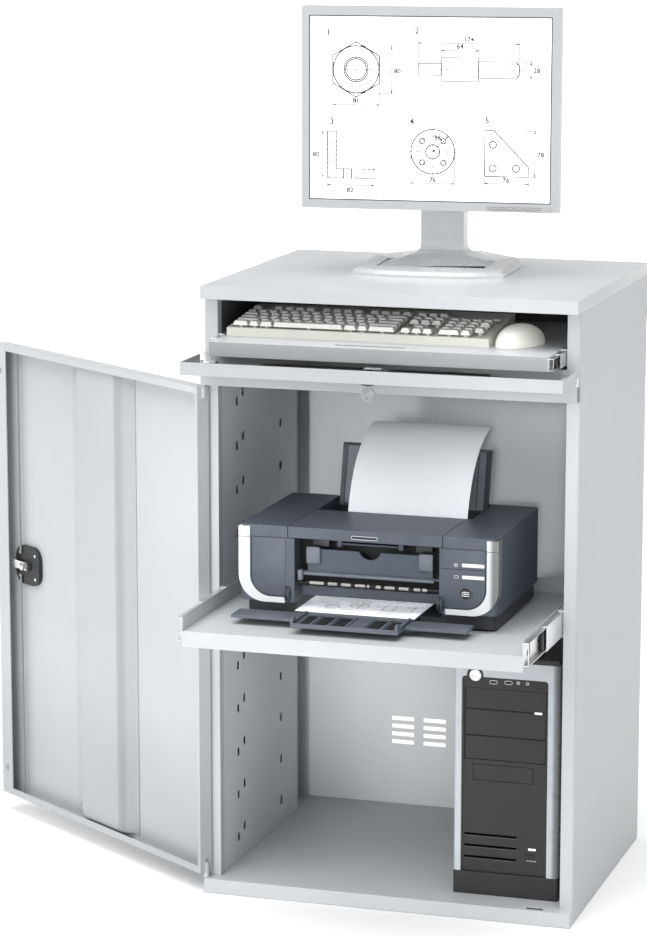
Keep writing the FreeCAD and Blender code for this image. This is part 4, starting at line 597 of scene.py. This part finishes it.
bevelled_copy("printer_power_button", 0.0012, key_white, "printer_power_button", "printer_power_cap")
bevelled_copy("printer_feed_button", 0.0012, key_white, "printer_feed_button", "printer_feed_cap")
FRONT = -0.343

# Front panels. Each end of the case carries a flat moulded panel that follows the band's
# curve, with a dark parting line round it and a second one under the top.
PANEL_LOW = 0.5552
PANEL_HIGH = 0.6535
PANEL_CORNER = 0.0331
RIM = 0.0014


def at(x, y, z):
    """The move to a point."""
    return Matrix.Translation(Vector((x, y, z)))


def plane(width, height, middle=(0, 0)):
    """A flat rectangle in the XY plane."""
    bpy.ops.mesh.primitive_plane_add(size=1, location=(*middle, 0))
    piece = bpy.context.object
    piece.scale = (width, height, 1)
    bpy.ops.object.transform_apply(location=True, rotation=False, scale=True)
    return piece


def thicken(piece, depth):
    """Give a flat piece its depth and stand it up in the XZ plane, facing -Y."""
    with editing():
        bpy.ops.mesh.extrude_region_move(TRANSFORM_OT_translate={"value": (0, 0, depth)})
        bpy.ops.mesh.select_all(action="SELECT")
        bpy.ops.mesh.normals_make_consistent(inside=False)
    piece.data.transform(Matrix.Rotation(math.pi / 2, 4, "X"))


def end_panel(inner_x, end_x, low, high, corner, depth):
    """A panel whose lower corner beside the band is a quarter round."""
    panel = plane(abs(end_x - inner_x), high - low, ((inner_x + end_x) / 2, (low + high) / 2))
    with editing("DESELECT"):
        bpy.ops.mesh.select_mode(type="VERT")
    for vertex in panel.data.vertices:
        vertex.select = abs(vertex.co.x - inner_x) < 1e-5 and abs(vertex.co.y - low) < 1e-5
    with editing(None):
        bpy.ops.mesh.bevel(offset=corner, segments=10, affect="VERTICES")
    thicken(panel, depth)
    soften(panel, 0.0005, 60)
    return panel


for panel_name, inner_x, end_x in (("left", -0.2095, -0.1500), ("right", 0.1935, 0.1190)):
    rim_x = inner_x + math.copysign(RIM, inner_x)
    shadow = end_panel(rim_x, end_x, PANEL_LOW - RIM, PANEL_HIGH + 0.0010, PANEL_CORNER + RIM, 0.0005)
    drop_in(shadow, seam_black, "printer_shelf", f"panel_shadow_{panel_name}", at(0, FRONT, 0))
    panel = end_panel(inner_x, end_x, PANEL_LOW, PANEL_HIGH, PANEL_CORNER, 0.0013)
    drop_in(panel, printer_slate, "printer_shelf", f"front_panel_{panel_name}", at(0, FRONT, 0))
parting = block((0.119, FRONT - 0.0016, 0.6205), (0.1925, FRONT - 0.0010, 0.6213))
drop_in(parting, seam_black, "printer_shelf", "panel_parting_line")

# Keys' marks. Signs printed in white on the right panel beside the two keys: a ring with a dot
# and a blank sheet.


def outline(width, height, line, depth, corner):
    """A thin rounded frame standing in the XZ plane, facing -Y."""
    piece = plane(width, height)
    with editing():
        bpy.ops.mesh.bevel(offset=corner, segments=5, affect="VERTICES")
        bpy.ops.mesh.select_all(action="SELECT")
        bpy.ops.mesh.inset(thickness=line, depth=0)
        bpy.ops.mesh.delete(type="FACE")
    thicken(piece, depth)
    return piece


mark_white = plastic("mark_white", (0.70, 0.72, 0.74), (0.76, 0.78, 0.80), 0.5)
for mark_name, x, z, width, height, roundness in (("power", 0.1435, 0.6280, 0.0062, 0.0062, 0.49),
                                                  ("feed", 0.1445, 0.6080, 0.0078, 0.0048, 0.2)):
    mark = outline(width, height, 0.0008, 0.0003, height * roundness)
    drop_in(mark, mark_white, "printer_shelf", f"key_mark_{mark_name}", at(x, FRONT - 0.0013, z))
dot = round_piece((0.1435, FRONT - 0.0014, 0.6280), (0, -1, 0), 0.0009, 0.0004, 0.0001, 16)
drop_in(dot, mark_white, "printer_shelf", "key_mark_dot")

# Front socket. A round moulded collar low on the right panel, with a plated rectangular socket
# and its plastic tongue sunk in it.
SOCKET_X = 0.161
SOCKET_Z = 0.5815
collar = round_piece((SOCKET_X, FRONT - 0.0018, SOCKET_Z), (0, -1, 0), 0.0118, 0.0026, 0.0010, 48)
drop_in(collar, printer_slate, "printer_shelf", "socket_collar")
well = round_piece((SOCKET_X, FRONT - 0.0031, SOCKET_Z), (0, -1, 0), 0.0094, 0.0006, 0.0002, 48)
drop_in(well, seam_black, "printer_shelf", "socket_well")
shroud = outline(0.0125, 0.0078, 0.0011, 0.0012, 0.0012)
drop_in(shroud, chrome, "printer_shelf", "socket_shroud", at(SOCKET_X, FRONT - 0.0033, SOCKET_Z - 0.0010))
tongue = block((SOCKET_X - 0.0040, FRONT - 0.0042, SOCKET_Z - 0.0020),
               (SOCKET_X + 0.0040, FRONT - 0.0034, SOCKET_Z), 0.0002)
drop_in(tongue, printer_silver, "printer_shelf", "socket_tongue")

# Silver bands. Satin-lacquered mouldings that wrap both front corners and run in under the
# panels, with a parting line below their caps and a round inlay on the right one.
band_silver_shaded_right = plastic("band_silver_shaded_right", (0.66, 0.68, 0.70), (0.71, 0.73, 0.75), 0.24)
# Painted shade: the silver darkens towards the right band's outer side, where its curve turns from the light.
shade_along(band_silver_shaded_right, "X", start=0.1985, end=0.2080, share=0.26)
bands = bevelled_copy("printer_trims", 0.0008, band_silver_shaded_right, "printer_shelf", "printer_bands")


def round_corners(piece, front, left, right):
    """Round widely the edges before a front plane that lie beyond a left or a right one."""
    pick(piece)
    with editing("DESELECT"):
        bpy.ops.mesh.select_mode(type="EDGE")
    points = [vertex.co for vertex in piece.data.vertices]
    for edge in piece.data.edges:
        a, b = (points[end] for end in edge.vertices)
        edge.select = max(a.y, b.y) < front and (min(a.x, b.x) > right or max(a.x, b.x) < left)
    with editing(None):
        bpy.ops.mesh.bevel(offset=0.0090, segments=6, affect="EDGES", clamp_overlap=True)
    even_shading(piece)


round_corners(bands, front=-0.3450, left=-0.2308, right=0.2148)
for side_name, start, end in (("left", -0.2322, -0.2122), ("right", 0.1960, 0.2162)):
    cut = block((start, FRONT - 0.0032, 0.6528), (end, FRONT - 0.0024, 0.6536))
    drop_in(cut, seam_black, "printer_shelf", f"band_parting_{side_name}")
inlay = round_piece((0.2063, FRONT - 0.0031, 0.6405), (0, -1, 0), 0.0048, 0.0010, 0.0004, 32)
drop_in(inlay, band_silver_shaded_right, "printer_shelf", "band_inlay")

# Lid grip. A long finger slot moulded in the lid's front lip, with a light rim of silver
# lacquer round it.
rim = outline(0.0455, 0.0062, 0.0009, 0.0006, 0.0022)
drop_in(rim, printer_silver, "printer_top_cover", "lid_grip_rim", at(-0.0135, FRONT - 0.0001, 0.6620))

# Paper path. A notched guide plate with a turned-out lower flange, a steel shaft with pale
# rubber rollers below it, and a plate behind them, all in the mouth.
roller_white = plastic("roller_white", (0.78, 0.77, 0.72), (0.86, 0.85, 0.80), 0.6)
guide_slate = plastic("guide_slate", (0.056, 0.073, 0.102), (0.066, 0.086, 0.118), 0.42)
guide_grey = plastic("guide_grey", (0.13, 0.15, 0.18), (0.16, 0.18, 0.21), 0.42)
guide = bevelled_copy("printer_output_guide", 0.0006, guide_slate, "printer_shelf", "paper_guide")
guide.data.materials.append(seam_black)
SHAFT_Y = -0.329
SHAFT_Z = 0.578
for face in guide.data.polygons:
    on_shaft = math.hypot(face.center.y - SHAFT_Y, face.center.z - SHAFT_Z) < 0.0062
    face.material_index = 1 if on_shaft else 0
ROLLERS = ((-0.1110, -0.0870), (-0.0790, -0.0640), (-0.0560, -0.0400), (-0.0320, -0.0150), (-0.0115, -0.0075),
           (0.0040, 0.0120), (0.0190, 0.0360), (0.0440, 0.0600), (0.0690, 0.0800), (0.0840, 0.0920))
for index, (start, end) in enumerate(ROLLERS):
    middle = ((start + end) / 2, SHAFT_Y - 0.0045, SHAFT_Z + 0.0010)
    roller = round_piece(middle, (1, 0, 0), 0.0026, end - start, 0.0006, 20)
    drop_in(roller, roller_white, "printer_shelf", f"paper_roller_{index}")
for piece_name, finish, start, end, near, far, low, high, rounding in (
        ("guide_flange", guide_grey, -0.122, 0.104, 0.006, 0.016, 0.5920, 0.5970, 0.0015),
        ("guide_ear_0", guide_grey, -0.1175, -0.0930, 0.0085, 0.0145, 0.6110, 0.6400, 0.0024),
        ("guide_ear_1", guide_grey, 0.0770, 0.1015, 0.0085, 0.0145, 0.6110, 0.6400, 0.0024),
        ("lower_guide_plate", printer_slate, -0.128, 0.110, 0.020, 0.024, 0.5545, 0.5720, 0.0010),
        ("mouth_catch_0", printer_dark, -0.108, -0.080, 0.018, 0.040, 0.6400, 0.6510, 0.0008),
        ("mouth_catch_1", printer_slate, -0.066, -0.058, 0.018, 0.040, 0.6410, 0.6530, 0.0008),
        ("mouth_catch_2", printer_slate, 0.040, 0.048, 0.018, 0.040, 0.6410, 0.6530, 0.0008),
        ("mouth_catch_3", printer_slate, -0.058, 0.040, 0.018, 0.040, 0.6450, 0.6480, 0.0008),
        ("mouth_catch_4", printer_dark, 0.070, 0.098, 0.018, 0.040, 0.6400, 0.6510, 0.0008),
        ("mouth_back_plate", seam_black, -0.134, 0.114, 0.040, 0.044, 0.560, 0.653, 0.0008)):
    part = block((start, FRONT + near, low), (end, FRONT + far, high), rounding)
    drop_in(part, finish, "printer_shelf", piece_name)
hub = block((-0.1300, FRONT + 0.0005, 0.5830), (-0.1215, FRONT + 0.012, 0.6010), 0.0028, 3)
drop_in(hub, guide_grey, "printer_shelf", "roller_hub")

# Output tray. Thin ribbed moulding, hinged low on the base, with upright stops at its front
# and two curved cheeks beside its hinge.
tray_slate = plastic("tray_slate", (0.105, 0.120, 0.145), (0.120, 0.136, 0.164), 0.40)
bevelled_copy("printer_output_tray", 0.0008, tray_slate, "printer_output_tray", "printer_front_tray")
tray_low, tray_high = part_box("printer_output_tray")
tray_front, tray_top = tray_low[1], tray_high[2]
POCKETS = ((-0.100, -0.084), (-0.075, -0.054), (-0.045, -0.024), (0.015, 0.036), (0.045, 0.060))
for index, x in enumerate((-0.1115, 0.0665)):
    stop = block((x, tray_front + 0.001, tray_top - 0.005),
                 (x + 0.005, tray_front + 0.016, tray_top + 0.006), 0.0012)
    drop_in(stop, tray_slate, "printer_output_tray", f"tray_stop_{index}")
for step in range(5):
    x = -0.080 + step * 0.030
    rib = block((x, tray_front + 0.0005, 0.5302), (x + 0.0025, -0.3640, 0.5324), 0.0005)
    drop_in(rib, tray_slate, "printer_output_tray", f"tray_rib_{step}")
front_rib = block((-0.107, tray_front + 0.0002, 0.5302), (0.0660, tray_front + 0.0030, 0.5332), 0.0006)
drop_in(front_rib, tray_slate, "printer_output_tray", "tray_front_rib")
for index, (start, end) in enumerate(POCKETS):
    pocket = block((start, tray_front + 0.006, 0.5296), (end, -0.3700, 0.5310), 0.0004)
    drop_in(pocket, seam_black, "printer_output_tray", f"tray_pocket_{index}")
for cheek_name, x in (("left", -0.1460), ("right", 0.1180)):
    cheek = round_piece((x, FRONT, 0.5600), (1, 0, 0), 0.0125, 0.0080, 0.0016, 40)
    drop_in(cheek, printer_slate, "printer_shelf", f"tray_cheek_{cheek_name}")

# Paper support. A smoked clear panel in a dark moulded frame, hinged behind the feed and
# leaning back.
smoked_clear = plastic("smoked_clear", (0.155, 0.170, 0.195), (0.185, 0.200, 0.228), 0.48)
support = bevelled_copy("paper_support", 0.0006, smoked_clear, "paper_support", "paper_rest")
support.data.materials.append(printer_dark)
for face in support.data.polygons:
    if face.center.x < -0.1285 or face.center.x > 0.1195 or face.center.z < 0.668:
        face.material_index = 1
lean = at(0, -0.080, 0.662) @ Matrix.Rotation(math.radians(-13), 4, "X")
top_rail = block((-0.137, -0.0045, 0.1035), (0.128, 0.0045, 0.1085), 0.0010)
drop_in(top_rail, printer_dark, "paper_support", "support_top_rail", lean)
for index, x in enumerate((0.088, 0.106)):
    crease = block((x, -0.0032, 0.006), (x + 0.0016, -0.0016, 0.096), 0.0003)
    drop_in(crease, printer_dark, "paper_support", f"support_crease_{index}", lean)

# Tower computer. Black-coated steel case behind a black moulded front with satin silver
# uprights, standing on the compartment's floor.
tower_black = plastic("tower_black", (0.020, 0.020, 0.022), (0.025, 0.025, 0.027), 0.55)
blank_black = plastic("blank_black", (0.019, 0.019, 0.021), (0.024, 0.024, 0.026), 0.55)
tower_steel = powder_coat("tower_steel", (0.018, 0.018, 0.019), (0.028, 0.028, 0.029), 0.45)
tower_silver = plastic("tower_silver", (0.53, 0.56, 0.59), (0.57, 0.60, 0.63), 0.28)
# Painted shade: the silver darkens across the right upright's outer edge, where it turns from the light.
shade_along(tower_silver, "X", start=0.2765, end=0.2840, share=0.34)
coat(tower_steel, "tower_chassis")
bevelled_copy("tower_front_panel", 0.0008, tower_black, "cabinet", "tower_face")
uprights = bevelled_copy("tower_side_frames", 0.0006, tower_silver, "cabinet", "tower_frame")
round_corners(uprights, front=-0.2118, left=0.1082, right=0.2890)
bevelled_copy("tower_top_cover", 0.0015, tower_black, "cabinet", "tower_cap")
bevelled_copy("tower_drive_covers", 0.0002, blank_black, "cabinet", "tower_drive_blanks")
bevelled_copy("tower_feet", 0.0015, tower_black, "cabinet", "tower_plinth")
bevelled_copy("tower_power_button", 0.0020, chrome, "tower_power_button", "tower_power_cap")
bevelled_copy("tower_reset_button", 0.0008, tower_black, "tower_reset_button", "tower_reset_cap")

# Tower sockets. Two oblong sockets and two round jacks with plated rims, sunk in the panel's
# head, and a small blank oval beside them.
FACE = -0.208
for index, (x, z) in enumerate(((0.174, 0.399), (0.200, 0.400))):
    socket_rim = outline(0.0140, 0.0066, 0.0009, 0.0006, 0.0030)
    drop_in(socket_rim, printer_silver, "cabinet", f"socket_rim_{index}", at(x, FACE, z))
    port = block((x - 0.0050, FACE - 0.0003, z - 0.0014), (x + 0.0050, FACE, z + 0.0014), 0.0001)
    drop_in(port, seam_black, "cabinet", f"socket_port_{index}")
for index, x in enumerate((0.217, 0.233)):
    jack = round_piece((x, FACE - 0.0004, 0.401), (0, -1, 0), 0.0029, 0.0012, 0.0003)
    drop_in(jack, printer_silver, "cabinet", f"jack_ring_{index}")
    bore = round_piece((x, FACE - 0.0010, 0.401), (0, -1, 0), 0.0014, 0.0006, 0.0001, 16)
    drop_in(bore, seam_black, "cabinet", f"jack_bore_{index}")
oval = outline(0.0220, 0.0080, 0.0007, 0.0004, 0.0038)
drop_in(oval, tower_steel, "cabinet", "blank_oval", at(0.2525, FACE, 0.3975))
slot_edge = plastic("slot_edge", (0.10, 0.10, 0.105), (0.13, 0.13, 0.135), 0.4)
for index in range(3):
    z = 0.0868 + index * 0.020
    edge = block((0.1245, FACE - 0.0006, z), (0.2175, FACE + 0.0002, z + 0.0010), 0.0002)
    drop_in(edge, slot_edge, "cabinet", f"air_slot_edge_{index}")

# Tower lamps. Two small clear light bars let into the front, lit white, and a row of dashes
# printed beside the lower one.


def lit(name, drift_size, dark, light, strength, low, high):
    """A face that glows: a clear face lit from behind, or paper with a painted glow; with its node tree, shader,
    place and tone.
    """
    material, tree, shader, place = graph(name)
    drift, tone = mottle(tree, place, drift_size, dark, light)
    dial(shader, Emission_Strength=strength)
    roughness_drift(tree, drift, shader, low, high)
    for key in ("Base Color", "Emission Color"):
        tree.links.new(tone, shader.inputs[key])
    return material, tree, shader, place, tone


lamp_white = lit("lamp_white", 200.0, (0.88, 0.88, 0.90), (0.95, 0.95, 0.97), 0.6, 0.3, 0.4)[0]
for index, (x, z) in enumerate(((0.2525, 0.3505), (0.2440, 0.1115))):
    bar = block((x - 0.0065, FACE - 0.0010, z - 0.0018), (x + 0.0065, FACE + 0.0005, z + 0.0018), 0.0005)
    drop_in(bar, lamp_white, "cabinet", f"light_bar_{index}")
for index in range(4):
    x = 0.2350 + index * 0.0045
    dash = block((x, FACE - 0.0003, 0.0905), (x + 0.0030, FACE + 0.0002, 0.0918), 0.0001)
    drop_in(dash, printer_silver, "cabinet", f"panel_dash_{index}")

# Monitor. Satin silver-grey moulded plastic: rear shell and front frame snapped together, on a
# sliding post that is plugged into a swept foot.
monitor_silver = plastic("monitor_silver", (0.48, 0.495, 0.51), (0.495, 0.51, 0.525), 0.34)
stand_silver = plastic("stand_silver", (0.595, 0.605, 0.615), (0.61, 0.62, 0.63), 0.26)
lit_column_silver = plastic("lit_column_silver", (0.70, 0.715, 0.725), (0.74, 0.755, 0.765), 0.30)
shaded_sweep_silver = plastic("shaded_sweep_silver", (0.455, 0.475, 0.495), (0.465, 0.485, 0.505), 0.26)
bevelled_copy("monitor_bezel", 0.0012, monitor_silver, "monitor", "monitor_frame")
bevelled_copy("monitor_housing", 0.0030, monitor_silver, "monitor", "monitor_shell")
bevelled_copy("monitor_buttons", 0.0006, monitor_silver, "monitor", "monitor_keys")
bevelled_copy("monitor_power_button", 0.0006, monitor_silver, "monitor_power_button", "monitor_power_key")
# The post and head take the lighter copy of the silver, as painted light in the monitor's shadow.
coat(lit_column_silver, "monitor_slider", "monitor_head")

# Foot. An open ring with a bright chamfered front; the column's curved root runs down into it
# and ends short of the ring's front bar. The column takes a lighter copy of the silver, as painted
# light, the root a darker copy, as painted shade, and a strip of the root by the front bar is
# painted black, as the shadow in the gap under it.
MONITOR = Vector((-0.004, 0.063, 0))
MONITOR_TURN = math.radians(4.75)
GAP_RIGHT = 0.088
monitor_place = Matrix.Translation(MONITOR) @ Matrix.Rotation(MONITOR_TURN, 4, "Z")
gap_line = monitor_place @ Vector((-0.040, -0.0276, 0))
gap_way = monitor_place.to_3x3() @ Vector((-0.066, 1, 0)).normalized()
gap_end = monitor_place @ Vector((GAP_RIGHT, 0, 0))
end_way = monitor_place.to_3x3() @ Vector((1, 0, 0))
foot = bevelled_copy("monitor_base", 0, stand_silver, "cabinet", "monitor_foot")
for material in (lit_column_silver, shaded_sweep_silver, painted_slot_shade):
    foot.data.materials.append(material)
pick(foot)
for point, way in ((gap_line, gap_way), (gap_end, end_way)):
    with editing():
        bpy.ops.mesh.bisect(plane_co=point, plane_no=way)
for face in foot.data.polygons:
    x, y, z = monitor_place.inverted() @ face.center
    if abs(x) < 0.0979 and -0.0519 < y < 0.0365 and z < 1.110:
        painted_gap_shade = (face.center - gap_line).dot(gap_way) < 0 and -0.060 < x < GAP_RIGHT
        face.material_index = 3 if painted_gap_shade else 2
    elif z > 1.0735:
        face.material_index = 1

# Display. A backlit white panel behind clear film, held in the front frame, with a faint drift
# of tone over it.
screen_white = lit("screen_white", 3.0, (0.93, 0.95, 0.97), (0.96, 0.97, 0.98), 0.85, 0.30, 0.36)[0]
coat(screen_white, "monitor_screen")

# Frame gap. A dark line all round between the frame's inner edge and the display, and the keys'
# outlines pressed into the frame's lower edge.
SCREEN_MIDDLE = 1.344
screen_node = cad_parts["monitor_screen"]
to_local = monitor_place.inverted() @ screen_node.matrix_world
screen_face = min((to_local @ corner.co).y for corner in screen_node.data.vertices)


def on_screen(u, v, lift):
    """The place of a point of the display, across and up from its middle."""
    return monitor_place @ at(u, screen_face - lift, SCREEN_MIDDLE + v)


gap = outline(0.4204, 0.3154, 0.0020, 0.0004, 0.0004)
drop_in(gap, printer_dark, "monitor", "display_gap", on_screen(0, 0, 0.0003))
for index in range(6):
    key = outline(0.0140, 0.0044, 0.0005, 0.0003, 0.0020)
    key_place = on_screen(0.1085 + 0.0158 * index, -0.1655, 0.0056)
    drop_in(key, tower_steel, "monitor", f"key_outline_{index}", key_place)

# Drawing on the display. Thin dark lines that show plain workshop parts: a hexagon flange, a
# stepped shaft, an angle bracket in section, a round plate with four holes and a gusset.
ink_grey = plastic("ink_grey", (0.018, 0.018, 0.020), (0.030, 0.030, 0.032), 0.6)


def ring(centre, radius, sides=40, start=0.0, sweep=360.0):
    """Points round an arc."""
    angles = [math.radians(start + sweep * step / sides) for step in range(sides + 1)]
    return [(centre[0] + radius * math.cos(angle), centre[1] + radius * math.sin(angle)) for angle in angles]


def dashes(first, last, step=9.0, drawn=6.0):
    """A broken line between two points."""
    length = math.dist(first, last)

    def along(reach):
        return tuple(a + (b - a) / length * reach for a, b in zip(first, last))

    starts = [step * index for index in range(int(length / step) + 1)]
    return [[along(start), along(min(start + drawn, length))] for start in starts if start < length]


def measure(first, last):
    """A dimension line with an arrowhead at each end."""
    length = math.dist(first, last)
    u, v = [(b - a) / length for a, b in zip(first, last)]
    heads = []
    for tip, reach in ((first, 5), (last, -5)):
        base_u, base_v = tip[0] + u * reach, tip[1] + v * reach
        heads.append([(base_u - v * 1.6, base_v + u * 1.6), tip, (base_u + v * 1.6, base_v - u * 1.6)])
    return [[first, last]] + heads


def draw(name, strokes, width=1.1, place=None, body="monitor"):
    """Flat strokes on the display or at another place, given in millimetres from its middle."""
    curve = bpy.data.curves.new(name, "CURVE")
    curve.dimensions = "3D"
    curve.bevel_depth = width / 2000
    curve.bevel_resolution = 0
    for stroke in strokes:
        spline = curve.splines.new("POLY")
        spline.points.add(len(stroke) - 1)
        for point, (u, v) in zip(spline.points, stroke):
            point.co = (u / 1000, 0, v / 1000, 1)
    line = bpy.data.objects.new(name, curve)
    bpy.context.collection.objects.link(line)
    pick(line)
    bpy.ops.object.convert(target="MESH")
    line = bpy.context.object
    line.data.transform(Matrix.Diagonal((1, 0.2, 1, 1)))
    drop_in(line, ink_grey, body, name, place or on_screen(0, 0, 0.0004))


BOLD = 1.9
FINE = 1.0
FLANGE = (-128, 66)
PLATE = (6, -72)
BOLT_CIRCLE = 26
BOLT_TURNS = (0.785, 2.356, 3.927, 5.498)
draw("hexagon_flange", [ring(FLANGE, 47, 6, 30), ring(FLANGE, 40), ring(FLANGE, 21), ring(FLANGE, 18)], BOLD)
draw("flange_axes", dashes((-184, 66), (-72, 66)) + dashes((-128, 10), (-128, 122))
     + [ring(FLANGE, 30, 24, 200, 140)])
draw("flange_measures", measure((-168.7, 6), (-87.3, 6)) + measure((-66, 26), (-66, 106))
     + [[(-168.7, 60), (-168.7, 2)], [(-87.3, 60), (-87.3, 2)], [(-120, 26), (-62, 26)], [(-120, 106), (-62, 106)]])
draw("stepped_shaft", [[(-20, 78), (20, 78), (20, 88), (84, 88), (84, 82), (150, 82), (150, 54), (84, 54),
                        (84, 48), (20, 48), (20, 58), (-20, 58), (-20, 78)], [(20, 78), (20, 58)],
                       [(84, 82), (84, 54)], [(150, 80), (154, 77), (154, 59), (150, 56)]], BOLD)
draw("shaft_axis", dashes((-30, 68), (166, 68), 14, 10))
draw("shaft_measures", measure((-20, 112), (154, 112)) + measure((20, 100), (84, 100))
     + measure((174, 54), (174, 82))
     + [[(-20, 80), (-20, 116)], [(154, 80), (154, 116)], [(20, 90), (20, 104)], [(84, 90), (84, 104)],
        [(156, 82), (178, 82)], [(156, 54), (178, 54)]])
draw("angle_bracket", [[(-178, -40), (-162, -40), (-162, -104), (-96, -104), (-96, -120), (-178, -120),
                        (-178, -40)], [(-150, -104), (-150, -120)], [(-136, -104), (-136, -120)]], BOLD)
draw("bracket_hatching", [[(-178, -120 + step), (-162, -104 + step)] for step in range(0, 64, 8)]
     + [[(-128 + step, -120), (-112 + step, -104)] for step in range(0, 17, 8)], FINE)
draw("bracket_measures", measure((-186, -120), (-186, -40)) + measure((-178, -132), (-96, -132))
     + [[(-190, -40), (-180, -40)], [(-178, -122), (-178, -136)], [(-96, -122), (-96, -136)]])
holes = [ring((PLATE[0] + BOLT_CIRCLE * math.cos(turn), PLATE[1] + BOLT_CIRCLE * math.sin(turn)), 4.5, 16)
         for turn in BOLT_TURNS]
draw("round_plate", [ring(PLATE, 38), ring(PLATE, 12)] + holes, BOLD)
draw("plate_axes", dashes((-40, -72), (52, -72)) + dashes((6, -118), (6, -26)) + [ring(PLATE, BOLT_CIRCLE)], FINE)
draw("plate_measure", measure((6, -72), (33, -45)) + measure((-32, -126), (44, -126))
     + [[(-32, -76), (-32, -130)], [(44, -76), (44, -130)]])
draw("gusset", [[(96, -112), (172, -112), (172, -96), (112, -34), (96, -34), (96, -112)],
                ring((110, -98), 6, 20), ring((150, -98), 6, 20), ring((110, -58), 6, 20)], BOLD)
draw("gusset_measures", measure((96, -124), (172, -124)) + measure((182, -112), (182, -34))
     + [[(96, -114), (96, -128)], [(172, -114), (172, -128)], [(114, -34), (186, -34)], [(174, -112), (186, -112)]])

# Figures on the drawing. Plain numbers only, in the same dark lines, set beside the dimension
# lines and at the head of each view.
for index, (figure, u, v) in enumerate((
        ("81", -134, 9), ("80", -62, 60), ("174", 58, 115), ("64", 46, 103), ("28", 178, 64), ("80", -204, -84),
        ("82", -144, -144), ("76", 0, -124), ("38", 8, -52), ("76", 127, -122), ("78", 186, -78),
        ("1", -180, 124), ("2", -26, 128), ("3", -174, -28), ("4", -34, -26), ("5", 96, -22))):
    bpy.ops.object.text_add()
    letters = bpy.context.object.data
    letters.body = figure
    letters.size = 0.015 if len(figure) == 1 else 0.012
    letters.offset = 0.0003
    letters.resolution_u = 2
    bpy.ops.object.convert(target="MESH")
    figure_mesh = bpy.context.object
    figure_mesh.data.transform(Matrix.Rotation(math.pi / 2, 4, "X"))
    drop_in(figure_mesh, ink_grey, "monitor", f"figure_{index}", on_screen(u / 1000, v / 1000, 0.0005))

# Paper. Plain white A4 sheets, slightly rough, with fine fibres. Those in the feed curl back at
# the top; the printed one lies in the mouth and out over the tray.
# The paper is given a faint glow, as painted light.
paper_white = plastic("paper_white", (0.90, 0.92, 0.955), (0.93, 0.94, 0.965), 0.75, 1500.0, 0.00002, 0.0,
                      glow=(0.92, 0.95, 1.0), strength=0.10)
CURL_START = 0.735
feed_stack = bevelled_copy("paper_stack", 0, paper_white, "printer_shelf", "paper_in_feed")
for vertex in feed_stack.data.vertices:
    rise = max(vertex.co.z - CURL_START, 0)
    vertex.co.y += 6.6 * rise ** 2
    vertex.co.z += 0.5 * rise ** 2

# Printed sheet. The same paper, lying flat and glowing brighter, as painted light, with rows of
# small grey marks that stand for text and figures.
printed_paper_painted_glow, tree, shader, place, tone = lit(
    "printed_paper_painted_glow", 30.0, (0.86, 0.89, 0.94), (0.89, 0.92, 0.96), 0.60, 0.7, 0.8)
rows = add(tree, "TexWave", Scale=42.0, Distortion=1.5)
rows.wave_type = "BANDS"
rows.bands_direction = "Y"
words = add(tree, "TexNoise", Scale=190.0, Detail=1)
patches = add(tree, "TexNoise", Scale=26.0)
threshold = add(tree, "MapRange", From_Min=0.240, From_Max=0.285)
row_words, marks = add(tree, "Math"), add(tree, "Math")
row_words.operation = marks.operation = "MULTIPLY"
blend = add(tree, "Mix")
blend.data_type = "RGBA"
dial(blend, B=(0.16, 0.17, 0.20, 1))
for texture in (rows, words, patches):
    tree.links.new(place, texture.inputs["Vector"])
for output, target in (
        (rows.outputs["Fac"], row_words.inputs[0]), (words.outputs["Fac"], row_words.inputs[1]),
        (row_words.outputs["Value"], marks.inputs[0]), (patches.outputs["Fac"], marks.inputs[1]),
        (marks.outputs["Value"], threshold.inputs["Value"]), (threshold.outputs["Result"], blend.inputs["Factor"]),
        (tone, blend.inputs["A"]), (blend.outputs["Result"], shader.inputs["Base Color"]),
        (blend.outputs["Result"], shader.inputs["Emission Color"])):
    tree.links.new(output, target)
coat(printed_paper_painted_glow, "printed_sheet")

# Print on the page. Thin strokes of the same grey ink: broken rows for text, two round figures
# and a table.
page_low, page_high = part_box("printed_sheet")
page_middle = at((page_low[0] + page_high[0]) / 2, (page_low[1] + page_high[1]) / 2, page_high[2] + 0.0001)
on_page = page_middle @ Matrix.Rotation(math.radians(-90), 4, "X")
text_rows = [stroke for row, (start, end) in enumerate(((-92, 88), (-92, 40), (-92, -40), (-86, -48)))
             for stroke in dashes((start, 48 - 8 * row), (end, 48 - 8 * row), 10 + row, 7)]
for drawing, strokes, width in (
        ("page_rows", text_rows + dashes((-70, -46), (80, -46), 12, 8), 1.1),
        ("page_figures", [ring((-8, 2), 15), ring((-8, 2), 6, 20), ring((-52, -14), 12), [(-8, -20), (-8, 24)],
                          [(-30, 2), (14, 2)], [(-74, -30), (10, -30)]], 1.1),
        ("page_table", [[(34, 20 - 8 * row), (86, 20 - 8 * row)] for row in range(6)]
         + [[(x, 20), (x, -20)] for x in (34, 52, 86)], 0.9)):
    draw(drawing, strokes, width, on_page, "printer_shelf")
